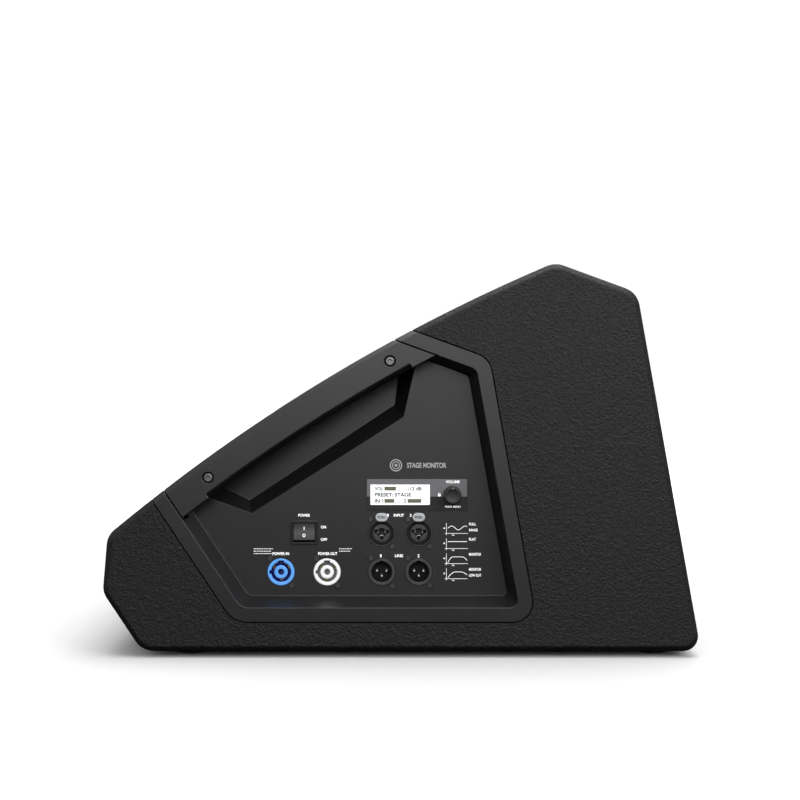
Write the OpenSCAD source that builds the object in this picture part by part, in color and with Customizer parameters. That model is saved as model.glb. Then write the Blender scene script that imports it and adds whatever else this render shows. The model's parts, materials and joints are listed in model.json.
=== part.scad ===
// Active coaxial stage monitor wedge.
// Frame: X runs from the nose (-) to the rear (+), Y from the connector side (-) to the far side (+), Z is up.
// The origin is on the floor, under the middle of the cabinet.

/* [Cabinet] */
// Width across the two side panels
body_w = 490; // [484:1:540]
// Thickness of the plywood panels
ply = 15; // [12:1:18]
// Height of the rubber feet
foot_h = 5; // [4:0.5:8]
// Front end of the base, measured forwards from the origin
base_front = 223.5; // [220:0.5:230]
// Rear end of the base, measured backwards from the origin
base_rear = 259.5; // [250:0.5:270]
// Furthest forward point of the nose
nose_reach = 257.5; // [250:0.5:262]
// Height of the nose's lower corner
nose_low_h = 56; // [50:1:62]
// Height of the nose's upper corner, where the curved front starts
nose_top_h = 105; // [100:1:112]
// How far the nose's upper corner leans back from its lower one
nose_lean = 4; // [2:0.5:6]
// Position of the apex along X
apex_x = 133.5; // [128:0.5:140]
// Height of the apex
apex_h = 341; // [335:1:350]
// Position of the rear top corner along X
rear_top_x = 204.5; // [198:0.5:210]
// Height of the rear top corner
rear_top_h = 315; // [310:1:320]
// Radius of the curved front, seen from the side
front_r = 1516; // [1300:1:1800]
// Width of the bevel round each side panel
bevel = 4.5; // [3:0.5:6]

/* [Connector tray] */
// Distance of the tray from the cabinet's lower front face
tray_front_inset = 80.4; // [78:0.1:84]
// Distance of the tray from the base
tray_base_inset = 25.8; // [24:0.1:30]
// Distance of the tray from the rear face
tray_rear_inset = 136.2; // [134:0.1:140]
// Distance of the tray from the top face
tray_top_inset = 98.1; // [96:0.1:102]
// Width of the tray's flat rim
rim_w = 12.4; // [11:0.1:14]
// Depth of the tray's floor below the side face
tray_depth = 30; // [26:1:34]
// Depth of the finger well below the side face
well_depth = 55; // [50:1:56]
// How much the tray's walls lean inwards down to its floor
tray_draft = 6.2; // [4:0.1:8]

/* [Handle] */
// Width of the carrying handle, from the front face inwards
handle_w = 29; // [26:0.5:31]
// Thickness of the handle across the cabinet
handle_t = 22; // [18:1:24]
// Width of the bevel under the grip
grip_bevel = 4; // [2:0.5:6]

/* [Driver] */
// Radius of the driver's frame
frame_r = 194; // [190:1:195]
// Offset of the driver from the cabinet's middle, away from the connector tray
driver_y = 17; // [16:1:18]
// Radius of the voice coil's former
coil_r = 38; // [36:0.5:39]
// Radius of the woofer's magnet
magnet_r = 80; // [75:1:84]
// Inner radius of each reflex port
port_r = 27.5; // [24:0.5:28]
// Length of each reflex port
port_l = 90; // [70:1:95]

/* [Pole socket] */
// Inner radius of the socket for a 35 mm pole
pole_r = 17.75; // [17.6:0.05:18]
// Depth of the pole socket
pole_l = 75; // [60:1:80]

/* [Hidden] */
$fn = 48;
fine = 0.01;
half_w = body_w / 2;
side_y = -half_w;
floor_y = side_y + tray_depth;
wall = 3;
gap = 0.8;

// ---- Plane geometry of the side view: points are [x, z] ----

function unit(v) = v / norm(v);
function left(v) = [-v[1], v[0]];
function cross2(a, b) = a[0] * b[1] - a[1] * b[0];
function polar(c, r, a) = c + r * [cos(a), sin(a)];
function heading(v) = atan2(v[1], v[0]);
// A straight edge is [a point on it, its direction], with the solid on its left
function edge(p, q) = [p, unit(q - p)];
function shift(edges, t) = [for (e = edges) [e[0] + t * left(e[1]), e[1]]];
function meet(e, f) = e[0] + e[1] * cross2(f[0] - e[0], f[1]) / cross2(e[1], f[1]);

base_a = [-base_front, foot_h];
base_b = [base_rear, foot_h];
rear_top = [rear_top_x, rear_top_h];
apex = [apex_x, apex_h];
nose_top = [-nose_reach + nose_lean, nose_top_h];
nose_low = [-nose_reach, nose_low_h];

// Straight edges in order, from the nose round to the top. The curved front closes the outline
shell_edges = [
  edge(nose_top, nose_low), edge(nose_low, base_a), edge(base_a, base_b), edge(base_b, rear_top),
  edge(rear_top, apex)
];
tray_edges = [
  shift([shell_edges[1]], tray_front_inset)[0], shift([shell_edges[2]], tray_base_inset)[0],
  shift([shell_edges[3]], tray_rear_inset)[0], shift([shell_edges[4]], tray_top_inset)[0]
];
shell_radii = [18, 18, 20, 13, 19, 20];
tray_radii = [0.5, 23, 17, 19, 0.5];

// The curved front is an arc about front_c, and the baffle lies along its chord
chord = nose_top - apex;
front_c = (nose_top + apex) / 2 + left(unit(chord)) * sqrt(pow(front_r, 2) - pow(norm(chord) / 2, 2));
slope = heading(-chord);

// Where an edge crosses the arc of radius r, nearest to the front
function on_front(e, r) =
  let (d = e[0] - front_c, b = d * e[1], q = sqrt(b * b - d * d + r * r), p = e[0] + e[1] * (-b - q),
       s = e[0] + e[1] * (-b + q), mid = (nose_top + apex) / 2)
  norm(p - mid) < norm(s - mid) ? p : s;

// A rounded corner at p between directions u and v, as points of an arc
function fillet(p, u, v, r) =
  let (turn = (heading(v) - heading(u) + 360) % 360, t = r * tan(turn / 2), c = p - u * t + left(u) * r,
       n = max(1, ceil(turn / 9)))
  [for (i = [0:n]) polar(c, r, heading(u) - 90 + turn * i / n)];

// A closed outline of straight edges whose last and first are joined by the front arc of radius r
function outline(edges, r, radii, inset = 0) =
  let (n = len(edges), first = on_front(edges[0], r), last = on_front(edges[n - 1], r),
       a0 = heading(last - front_c), a1 = heading(first - front_c),
       rad = [for (x = radii) max(x - inset, 0.5)], steps = 24,
       tan0 = left(unit(last - front_c)), tan1 = left(unit(first - front_c)),
       pad = 0.6 * max(rad[0], rad[n]) / r * 180 / PI)
  concat(
    fillet(first, tan1, edges[0][1], rad[0]),
    [for (i = [1:n - 1]) each fillet(meet(edges[i - 1], edges[i]), edges[i - 1][1], edges[i][1], rad[i])],
    fillet(last, edges[n - 1][1], tan0, rad[n]),
    [for (i = [0:steps]) polar(front_c, r, a0 + pad + (a1 - a0 - 2 * pad) * i / steps)]
  );

module shell_outline(inset = 0) {
  polygon(outline(shift(shell_edges, inset), front_r - inset, shell_radii, inset));
}
// The space inside the panels, open to the front arc
module shell_inside(t = ply, r = front_r) {
  polygon(outline(shift(shell_edges, t), r, [0, 0, 0, 0, 0, 0]));
}
module tray_outline(inset = 0, r = front_r, corner = 0) {
  polygon(outline(shift(tray_edges, inset), r, tray_radii, corner));
}
// A ring sector about the front arc's axis, from one radius to another
module front_band(r0, r1, a0 = 108, a1 = 134) {
  polygon(concat([for (i = [0:20]) polar(front_c, r1, a0 + (a1 - a0) * i / 20)],
                 [for (i = [20:-1:0]) polar(front_c, r0, a0 + (a1 - a0) * i / 20)]));
}

// ---- Placing ----

// Extrudes a side-view outline across the cabinet, from y0 to y1
module across(y0, y1) {
  translate([0, y1, 0]) rotate([90, 0, 0]) linear_extrude(y1 - y0) children();
}
// Turns a [radius, -y] section about the front arc's axis
module around_front(a0, a1) {
  translate([front_c[0], 0, front_c[1]]) rotate([90, 0, 0]) rotate([0, 0, a0])
    rotate_extrude(angle = a1 - a0, $fn = 240) children();
}
// Local z points out of the connector panel, local y points up
module on_floor(x, z) { translate([x, floor_y, z]) rotate([90, 0, 0]) children(); }
// Local z points out of the baffle, local x points up the slope
baffle_inset = 14;
baffle_t = 18;
baffle_o = (nose_top + apex) / 2 + left(unit(chord)) * baffle_inset;
module on_baffle() { translate([baffle_o[0], 0, baffle_o[1]]) rotate([0, -slope, 0]) children(); }
module on_driver() { on_baffle() translate([0, driver_y, 0]) children(); }
module tube(ro, ri, h) {
  difference() {
    cylinder(r = ro, h = h);
    translate([0, 0, -1]) cylinder(r = ri, h = h + 2);
  }
}
module ring_of(n, r, a0 = 0) { for (i = [0:n - 1]) rotate([0, 0, a0 + i * 360 / n]) translate([r, 0, 0]) children(); }
// A wire of straight runs, with a rounded lump at each bend
module wire(points, r) {
  for (i = [0:len(points) - 2]) {
    d = points[i + 1] - points[i];
    translate(points[i]) rotate([0, acos(d[2] / norm(d)), atan2(d[1], d[0])]) cylinder(r = r, h = norm(d), $fn = 16);
    if (i > 0) translate(points[i]) sphere(r = 1.15 * r, $fn = 16);
  }
}

// ---- Cabinet panels ----

// The outermost part of the cabinet with its bevel, on the side whose outer face is at y
module bevelled_slab(y, inwards, t) {
  inner = y + inwards * t;
  edge_y = y + inwards * bevel;
  hull() {
    across(min(edge_y, inner), max(edge_y, inner)) shell_outline();
    across(min(y, y + inwards * fine), max(y, y + inwards * fine)) shell_outline(bevel);
  }
}
leg_depth = 24.5;
// Inset of the openings that the tray's tub drops through
tub_inset = rim_w - wall - 1;
leg_inset = 12;
module side_panel_io() {
  color("#1c1c1e") difference() {
    bevelled_slab(side_y, 1, ply);
    across(side_y - 1, side_y + wall + 1.3) tray_outline(-gap, front_r + 30);
    across(side_y - 1, side_y + ply + 1) tray_outline(tub_inset, front_r + 30, tub_inset);
    across(side_y - 1, side_y + ply + 1) intersection() {
      tray_outline(-gap, front_r + 30);
      front_band(front_r - leg_inset - gap, front_r + 40);
    }
  }
}
pole_x = 15;
pole_z = 140;
pole_screw = 23;
flange_t = 2.5;
// The socket's flange lies in a pocket, deep enough for its screw heads to stay below the panel's face
pocket = flange_t + 2;
module at_pole() { translate([pole_x, half_w - pocket, pole_z]) rotate([-90, 0, 0]) children(); }
module at_pole_screws() { for (x = [-1, 1], y = [-1, 1]) translate([x * pole_screw, y * pole_screw, 0]) children(); }
module flange_outline(r) { offset(r = r) square(2 * pole_screw + 6, center = true); }
module side_panel_far() {
  color("#1c1c1e") difference() {
    bevelled_slab(half_w, -1, ply);
    at_pole() {
      linear_extrude(pocket + 1) flange_outline(6.3);
      translate([0, 0, -ply]) cylinder(r = pole_r + 3.4, h = ply + 1);
      translate([0, 0, -ply]) at_pole_screws() cylinder(r = 2.4, h = ply + 1, $fn = 24);
    }
  }
}
// The panel along edge i, mitred to its neighbours
module mitred_panel(i) {
  outer = shell_edges;
  inner = shift(shell_edges, ply);
  beyond = front_r + 10;
  a = i == 0 ? on_front(outer[0], beyond) : meet(outer[i - 1], outer[i]);
  b = i == 4 ? on_front(outer[4], beyond) : meet(outer[i], outer[i + 1]);
  c = i == 4 ? on_front(inner[4], beyond) : meet(inner[i], inner[i + 1]);
  d = i == 0 ? on_front(inner[0], beyond) : meet(inner[i - 1], inner[i]);
  across(side_y + ply, half_w - ply) intersection() {
    shell_outline();
    polygon([a, b, c, d]);
  }
}
foot_r = 15;
foot_spots = [for (x = [-185, 222], y = [-1, 1]) [x, y * (half_w - 40)]];
module nose_panel() { color("#1c1c1e") mitred_panel(0); }
module lower_front_panel() { color("#1c1c1e") mitred_panel(1); }
module base_panel() {
  color("#1c1c1e") difference() {
    mitred_panel(2);
    for (p = foot_spots) translate([p[0], p[1], foot_h - 1]) cylinder(r = 2.4, h = ply + 2, $fn = 24);
  }
}
module rear_panel() { color("#1c1c1e") mitred_panel(3); }
module top_panel() { color("#1c1c1e") mitred_panel(4); }

port_s = 168;
port_y = 180;
screw_circle = frame_r - 9;
module at_ports() { on_baffle() for (y = [-1, 1]) translate([port_s, y * port_y, 0]) children(); }
module baffle_board() {
  color("#26231f") difference() {
    intersection() {
      on_baffle() translate([-300, -half_w + ply, -baffle_t]) cube([600, body_w - 2 * ply, baffle_t]);
      across(side_y + ply, half_w - ply) shell_inside(ply + 0.1);
    }
    on_driver() translate([0, 0, -baffle_t - 1]) {
      cylinder(r = frame_r - 18, h = baffle_t + 2, $fn = 96);
      ring_of(8, screw_circle, 22.5) cylinder(r = 3.1, h = baffle_t + 2, $fn = 24);
    }
    at_ports() translate([0, 0, -baffle_t - 1]) cylinder(r = port_r + 2.5, h = baffle_t + 2);
    across(side_y, side_y + well_depth + wall + 1.5) tray_outline(tub_inset, front_r + 20, tub_inset);
    across(side_y, side_y + leg_depth + gap) tray_outline(-gap, front_r + 20);
  }
}

// ---- Front: cleats, grille, foam, ports ----

grille_half = half_w - 25;
grille_t = 1.5;
grille_lip = 12;
module above_baffle() {
  intersection() {
    shell_inside();
    translate(baffle_o) rotate(slope) translate([-300, 0]) square([600, 60]);
  }
}
module grille_cleats() {
  color("#1c1c1e") {
    across(grille_half + 0.5, half_w - ply) above_baffle();
    difference() {
      across(side_y + ply, -grille_half - 0.5) above_baffle();
      across(side_y, -grille_half) tray_outline(-gap, front_r + 20);
    }
  }
}
grille_r = front_r - 1.5;
grille_a = [heading(apex - front_c), heading(nose_top - front_c)];
module grille_zone() { across(-half_w, half_w) shell_inside(ply + 1, front_r + 20); }
module front_grille() {
  color("#17181a") difference() {
    intersection() {
      around_front(grille_a[0] - 1, grille_a[1] + 1) difference() {
        translate([grille_r - grille_lip, -grille_half]) square([grille_lip, 2 * grille_half]);
        translate([grille_r - grille_lip - 1, -grille_half + grille_t])
          square([grille_lip + 1 - grille_t, 2 * (grille_half - grille_t)]);
      }
      grille_zone();
    }
    at_grille_screws() translate([0, 0, -6]) cylinder(r = 2.7, h = 12, $fn = 24);
    across(side_y, side_y + well_depth + wall + 1.5) intersection() {
      tray_outline(-gap, front_r + 20);
      front_band(front_r - 40, grille_r - grille_t - 1);
    }
  }
}
foam_t = 4;
module grille_foam() {
  color("#141414") difference() {
    intersection() {
      around_front(grille_a[0] - 1, grille_a[1] + 1)
        translate([grille_r - grille_t - foam_t, -grille_half + 18]) square([foam_t, 2 * grille_half - 36]);
      across(-half_w, half_w) shell_inside(ply + 20, front_r + 20);
    }
    across(side_y, side_y + well_depth + wall + 1.5) tray_outline(-gap, front_r + 20);
  }
}
grille_screw_y = grille_half - 9;
module at_grille_screws() {
  for (a = [grille_a[0] + 1.1, grille_a[1] - 1.1], y = [-grille_screw_y, 0, grille_screw_y])
    translate([front_c[0], y, front_c[1]]) rotate([0, -a, 0]) translate([grille_r, 0, 0]) rotate([0, 90, 0]) children();
}
module button_screw(head_r, head_h, shank_r, length, socket_r) {
  difference() {
    union() {
      cylinder(r = head_r, h = head_h * 0.45);
      translate([0, 0, head_h * 0.45]) cylinder(r1 = head_r, r2 = head_r * 0.62, h = head_h * 0.55);
      translate([0, 0, -length]) cylinder(r = shank_r, h = length + fine);
    }
    translate([0, 0, head_h * 0.25]) cylinder(r = socket_r, h = head_h, $fn = 6);
  }
}
module grille_screws() { color("#2a2a2c") at_grille_screws() button_screw(4.4, 2.4, 2.3, 11, 1.6); }
module port_tubes() {
  color("#161616") at_ports() {
    translate([0, 0, -port_l]) tube(port_r + 2.4, port_r, port_l);
    difference() {
      cylinder(r = port_r + 7, h = 2.5);
      translate([0, 0, -1]) cylinder(r = port_r, h = 5);
    }
  }
}

// ---- Feet and pole socket ----

module rubber_feet() {
  color("#111111") for (p = foot_spots) translate([p[0], p[1], 0]) difference() {
    union() {
      cylinder(r = foot_r - 0.8, h = 0.8);
      translate([0, 0, 0.8]) cylinder(r = foot_r, h = foot_h - 0.8);
    }
    translate([0, 0, -1]) cylinder(r = 5, h = 3.2);
    translate([0, 0, -1]) cylinder(r = 2.4, h = foot_h + 2, $fn = 24);
  }
}
module foot_and_socket_screws() {
  color("#3a3a3c") {
    for (p = foot_spots) translate([p[0], p[1], 2.2]) rotate([180, 0, 0]) button_screw(4.4, 1.8, 2.3, 17, 1.6);
    at_pole() translate([0, 0, flange_t]) at_pole_screws() button_screw(4.4, 1.8, 2.3, 12, 1.6);
  }
}
// A cup with a square flange, whose mouth faces the far side
module pole_socket() {
  color("#1b1b1b") at_pole() difference() {
    union() {
      linear_extrude(flange_t) flange_outline(6);
      translate([0, 0, flange_t - pole_l - 3]) cylinder(r = pole_r + 3, h = pole_l + 1);
    }
    translate([0, 0, flange_t - pole_l]) cylinder(r = pole_r, h = pole_l + 1, $fn = 96);
    translate([0, 0, -1]) at_pole_screws() cylinder(r = 2.4, h = 5, $fn = 24);
  }
}

// ---- Connector tray ----

// Places on the tray's floor, as [x, z]
display_c = [14.4, 138.4];
display_size = [88.3, 28];
lcd_c = [-0.5, 138.6];
lcd_size = [52, 17.6];
knob_c = [45.4, 138.6];
combo_c = [[-16.8, 105], [15.9, 105]];
thru_c = [[-16.8, 70.6], [15.9, 70.6]];
power_in_c = [-105.4, 70.6];
power_out_c = [-64.8, 70.6];
switch_c = [-85, 105.2];
switch_size = [23.6, 21.2];
connector_c = concat(combo_c, thru_c, [power_in_c, power_out_c]);
connector_r = 11.9;
flange_screw = [9.5, 12];

// Corners of the finger well at the tray's floor and at the well's own floor
well_mouth = [[-182.5, 141], [-131.1, 122], [2.7, 206.8], [6.5, 252]];
well_floor = [[-159.5, 144], [-135.5, 132], [-5.1, 217.9], [-6.5, 246]];
hook_r = front_r - 9.5;
handle_screw_inset = 14.6;
handle_screw_a = [119.08, 126.18];

// The hollow of the finger well, grown by t, from y0 down to the well's floor
module well_space(t, y0) {
  reach = hook_r + t;
  hull() {
    across(y0, y0 + fine) intersection() {
      offset(delta = t) polygon(concat(well_mouth, [[30, 300], [-190, 200]]));
      front_band(front_r - 80, reach, 116.5, 128);
    }
    across(side_y + well_depth + t - fine, side_y + well_depth + t) intersection() {
      offset(delta = t) polygon(concat(well_floor, [[10, 290], [-165, 190]]));
      front_band(front_r - 80, reach, 117, 127.3);
    }
  }
}
// The hollow of the tray itself, grown by t
module tray_space(t, top_y) {
  hull() {
    across(top_y, top_y + fine) tray_outline(rim_w - t, hook_r + t, rim_w - 2);
    across(floor_y + t - fine, floor_y + t) tray_outline(rim_w + tray_draft - t, hook_r + t, rim_w);
  }
}
module behind_handle() {
  across(side_y - 1, side_y + handle_t + 0.6) intersection() {
    tray_outline(rim_w, front_r + 30);
    front_band(front_r - handle_w - 2, front_r + 40);
  }
}
module handle_posts() {
  for (a = handle_screw_a) {
    c = polar(front_c, front_r - handle_screw_inset, a);
    across(side_y + handle_t, side_y + well_depth + 1) translate(c) circle(r = 6);
  }
}
module tray_holes() {
  on_floor(0, 0) translate([0, 0, -wall - 1]) {
    for (c = connector_c) {
      translate(c) cylinder(r = connector_r + 0.2, h = wall + 2);
      for (s = [-1, 1]) translate([c[0] - s * flange_screw[0], c[1] + s * flange_screw[1]])
        cylinder(r = 1.7, h = wall + 2, $fn = 16);
    }
    for (c = combo_c) translate([c[0] - 6, c[1] + 9, 0]) cube([12, 9, wall + 2]);
    translate([switch_c[0] - 10.6, switch_c[1] - 9.4, 0]) cube([21.2, 18.8, wall + 2]);
    translate([lcd_c[0] - lcd_size[0] / 2 - 1, lcd_c[1] - lcd_size[1] / 2 - 1, 0])
      cube([lcd_size[0] + 2, lcd_size[1] + 2, wall + 2]);
    translate(knob_c) cylinder(r = 5, h = wall + 2);
  }
  on_floor(display_c[0] - display_size[0] / 2 - 0.2, display_c[1] - display_size[1] / 2 - 0.2)
    translate([0, 0, -1.2]) cube([display_size[0] + 0.4, display_size[1] + 0.4, 5]);
}
// The flat rim with its two legs, bevelled where it meets the front
module tray_rim() {
  intersection() {
    bevelled_slab(side_y, 1, leg_depth);
    union() {
      across(side_y - 1, side_y + wall + 1) tray_outline(0, front_r + 20);
      across(side_y - 1, side_y + leg_depth) intersection() {
        tray_outline(0, front_r + 20);
        front_band(front_r - leg_inset, front_r + 20);
      }
    }
  }
}
module io_tray() {
  color("#252527") difference() {
    union() {
      difference() {
        union() {
          tray_rim();
          tray_space(wall, side_y + 0.5);
          well_space(wall, floor_y + 1);
        }
        across(side_y - 2, side_y + leg_depth + 1) intersection() {
          tray_outline(rim_w, front_r + 40, rim_w);
          front_band(hook_r - 0.5, front_r + 50);
        }
        tray_space(0, side_y - 0.5);
        well_space(0, floor_y - 1);
        behind_handle();
      }
      handle_posts();
    }
    tray_holes();
    for (a = handle_screw_a) {
      c = polar(front_c, front_r - handle_screw_inset, a);
      across(side_y, side_y + 44) translate(c) circle(r = 2.1, $fn = 24);
    }
  }
}

// ---- Carrying handle ----

grip_a = [118.55, 126.55];
module carry_handle() {
  grip_r = front_r - handle_w;
  color("#2b2b2d") difference() {
    intersection() {
      bevelled_slab(side_y, 1, handle_t);
      across(side_y - 1, side_y + handle_t) intersection() {
        tray_outline(rim_w + gap, front_r + 30);
        front_band(grip_r, front_r + 30);
      }
    }
    around_front(grip_a[0], grip_a[1])
      polygon([[grip_r - 1, half_w + 1], [grip_r + grip_bevel + 1, half_w + 1], [grip_r + grip_bevel, half_w],
               [grip_r - 1, half_w - 2 * grip_bevel - 2]]);
    for (a = handle_screw_a) {
      c = polar(front_c, front_r - handle_screw_inset, a);
      across(side_y - 1, side_y + handle_t + 1) translate(c) circle(r = 2.6, $fn = 24);
      across(side_y - 1, side_y + 3.2) translate(c) circle(r = 4.7);
    }
  }
}
module handle_screws() {
  color("#6b6b6e") for (a = handle_screw_a) {
    c = polar(front_c, front_r - handle_screw_inset, a);
    translate([c[0], side_y + 3.2, c[1]]) rotate([90, 0, 0]) difference() {
      union() {
        cylinder(r = 4, h = 2.2);
        translate([0, 0, 2.2]) cylinder(r1 = 4, r2 = 3.3, h = 0.6);
        translate([0, 0, -36]) cylinder(r = 2, h = 36 + fine, $fn = 24);
      }
      translate([0, 0, 0.8]) cylinder(r = 1.9, h = 4, $fn = 6);
    }
  }
}

// ---- Display and volume control ----

module display_window() {
  color("#3c3d40") on_floor(display_c[0], display_c[1]) translate([0, 0, -1.2]) difference() {
    linear_extrude(1.6) offset(r = 0.8) square(display_size - [1.6, 1.6], center = true);
    translate([knob_c[0] - display_c[0], knob_c[1] - display_c[1], -1]) cylinder(r = 3.8, h = 4);
  }
}
module display_module() {
  color("#e8eef0") on_floor(lcd_c[0], lcd_c[1]) {
    translate([-lcd_size[0] / 2, -lcd_size[1] / 2, -wall - 3]) cube([lcd_size[0], lcd_size[1], wall + 1.4]);
    translate([-lcd_size[0] / 2 - 4, -lcd_size[1] / 2 - 4, -wall - 5]) cube([lcd_size[0] + 8, lcd_size[1] + 8, 2.2]);
  }
}
encoder_back = -wall - 9;
module encoder_body() {
  color("#8a8d90") on_floor(knob_c[0], knob_c[1]) difference() {
    union() {
      translate([-6, -6, encoder_back]) cube([12, 12, 8]);
      translate([0, 0, encoder_back + 8 - fine]) cylinder(r = 3.5, h = wall + 0.8);
    }
    translate([0, 0, encoder_back + 4]) cylinder(r = 3.05, h = 20);
    translate([0, 0, encoder_back + 2]) cylinder(r = 4.6, h = 3.2);
  }
}
// Follows the shaft in and out and works the push switch, without turning
module encoder_actuator() {
  color("#c8a24a") on_floor(knob_c[0], knob_c[1]) translate([0, 0, encoder_back + 3]) cylinder(r = 4.4, h = 1);
}
module encoder_shaft() {
  color("#b5b8bb") on_floor(knob_c[0], knob_c[1]) translate([0, 0, encoder_back + 4.02]) cylinder(r = 3, h = 19);
}
module volume_knob() {
  r = 7.4;
  color("#1f1f21") on_floor(knob_c[0], knob_c[1]) translate([0, 0, 1.6]) difference() {
    union() {
      cylinder(r = r + 0.5, h = 1.6);
      translate([0, 0, 1.6]) cylinder(r1 = r, r2 = r - 0.5, h = 10);
      translate([0, 0, 11.6]) cylinder(r1 = r - 0.5, r2 = r - 1.5, h = 1.2);
    }
    translate([0, 0, -1]) cylinder(r = 3.02, h = 11.6);
    ring_of(24, r + 0.35) translate([0, 0, 2.4]) cylinder(r = 0.6, h = 12, $fn = 12);
  }
}

// ---- Mains switch ----

rocker_tilt = 10;
module switch_housing() {
  color("#151516") on_floor(switch_c[0], switch_c[1]) difference() {
    union() {
      linear_extrude(1.4) offset(r = 1) square(switch_size - [2, 2], center = true);
      translate([-10.4, -9.2, -18]) cube([20.8, 18.4, 18 + fine]);
      for (y = [-6, 0, 6]) translate([-2.4, y - 0.4, -25]) cube([4.8, 0.8, 7 + fine]);
    }
    translate([-9.6, -8.4, -9]) cube([19.2, 16.8, 12]);
    translate([-10, 0, -3]) rotate([0, 90, 0]) cylinder(r = 1.3, h = 20, $fn = 24);
  }
}
// At rest its upper half is pressed in, which is on
module switch_rocker() {
  w = 18.8;
  color("#2a2a2d") on_floor(switch_c[0], switch_c[1]) translate([0, 0, -3]) rotate([-rocker_tilt, 0, 0]) {
    rotate([90, 0, 90]) translate([0, 0, -w / 2]) linear_extrude(w)
      polygon([[-7.3, 5.6], [-4, 4.9], [0, 4.6], [4, 4.9], [7.3, 5.6], [7.6, 1.2], [3, -2.6], [-3, -2.6], [-7.6, 1.2]]);
    for (x = [-1, 1]) translate([x * (w / 2 + 0.15) - 0.2, 0, 0]) rotate([0, 90, 0]) cylinder(r = 1.24, h = 0.4, $fn = 24);
  }
}

// ---- Connectors ----

module d_flange() {
  translate([0, 0, -wall - 2]) linear_extrude(2) offset(r = 2) square([22, 27], center = true);
}
module flange_holes() {
  for (s = [-1, 1]) translate([-s * flange_screw[0], s * flange_screw[1], -wall - 3]) cylinder(r = 1.5, h = 4, $fn = 16);
}
module power_socket(c) {
  on_floor(c[0], c[1]) difference() {
    union() {
      d_flange();
      translate([0, 0, -22]) cylinder(r = connector_r, h = 22.8);
    }
    flange_holes();
    translate([0, 0, -14]) difference() {
      union() {
        cylinder(r = 8.8, h = 20);
        translate([-2.6, 0, 0]) cube([5.2, 10.2, 20]);
        rotate([0, 0, 180]) translate([0, -1.6, 0]) cube([10.2, 3.2, 20]);
      }
      cylinder(r = 5.9, h = 14.5);
    }
    translate([0, 0, -12]) cylinder(r = 2.7, h = 20);
    ring_of(3, 7.3, 30) translate([-0.45, -1.7, -23]) cube([0.9, 3.4, 10]);
  }
}
module power_in_socket() { color("#2f7fe8") power_socket(power_in_c); }
module power_out_socket() { color("#e9eaea") power_socket(power_out_c); }
module power_contacts() {
  color("#c9a25a") for (c = [power_in_c, power_out_c]) on_floor(c[0], c[1])
    ring_of(3, 7.3, 30) translate([-0.4, -1.6, -28]) cube([0.8, 3.2, 22]);
}
latch_size = [11, 7.6];
latch_up = 13.8;
module combo_socket(c) {
  on_floor(c[0], c[1]) difference() {
    union() {
      d_flange();
      translate([0, 0, -24]) cylinder(r = connector_r, h = 24.6);
      tube(connector_r, 10.4, 1.2);
    }
    flange_holes();
    translate([0, 0, -16]) difference() {
      cylinder(r = 9.9, h = 20);
      cylinder(r = 8.4, h = 14.6);
    }
    translate([0, 0, -20]) cylinder(r = 3.3, h = 24);
    for (p = [[-4.6, 0.9], [4.6, 0.9], [0, -4.2]]) translate([p[0], p[1], -14]) cylinder(r = 1.75, h = 18, $fn = 24);
    translate([-6, 9.2, -wall - 3]) cube([12, 10, 10]);
  }
}
module combo_socket_1() { color("#131314") combo_socket(combo_c[0]); }
module combo_socket_2() { color("#131314") combo_socket(combo_c[1]); }
// The release tab travels straight into the panel
module combo_latch(c) {
  on_floor(c[0], c[1] + latch_up) {
    translate([0, 0, -0.2]) linear_extrude(2) hull() for (x = [-1, 1])
      translate([x * (latch_size[0] - latch_size[1]) / 2, 0]) circle(r = latch_size[1] / 2, $fn = 32);
    translate([-4, -2.4, -3.4]) cube([8, 4.8, 3.4]);
  }
}
module combo_latch_1() { color("#b9bcbe") combo_latch(combo_c[0]); }
module combo_latch_2() { color("#b9bcbe") combo_latch(combo_c[1]); }
module thru_socket(c) {
  on_floor(c[0], c[1]) difference() {
    union() {
      d_flange();
      translate([0, 0, -20]) cylinder(r = connector_r, h = 20.4);
      tube(connector_r, 10.7, 1);
    }
    flange_holes();
    translate([0, 0, -14]) cylinder(r = 9.6, h = 20);
    translate([-1.6, 8, -14]) cube([3.2, 2.6, 20]);
  }
}
module thru_socket_1() { color("#131314") thru_socket(thru_c[0]); }
module thru_socket_2() { color("#131314") thru_socket(thru_c[1]); }
module signal_contacts() {
  color("#d8d8d6") {
    for (c = thru_c, p = [[-4.2, 0.7], [4.2, 0.7], [0, -3.7]]) on_floor(c[0] + p[0], c[1] + p[1])
      translate([0, 0, -14]) {
        cylinder(r = 1.2, h = 10.4, $fn = 24);
        translate([0, 0, 10.4]) cylinder(r1 = 1.2, r2 = 0.6, h = 0.8, $fn = 24);
      }
    for (c = combo_c, p = [[-4.6, 0.9], [4.6, 0.9], [0, -4.2]]) on_floor(c[0] + p[0], c[1] + p[1])
      translate([0, 0, -14]) tube(1.7, 1.25, 7, $fn = 24);
  }
}
module connector_screws() {
  color("#2c2c2e") for (c = connector_c, s = [-1, 1])
    on_floor(c[0] - s * flange_screw[0], c[1] + s * flange_screw[1]) difference() {
      union() {
        translate([0, 0, fine]) cylinder(r1 = 2.7, r2 = 2.1, h = 0.9, $fn = 32);
        translate([0, 0, -wall - 5]) cylinder(r = 1.4, h = wall + 5 + 2 * fine, $fn = 16);
      }
      for (a = [0, 90]) rotate([0, 0, a]) translate([-1.3, -0.3, 0.45]) cube([2.6, 0.6, 2]);
    }
}

// ---- Amplifier, behind the tray ----

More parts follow.
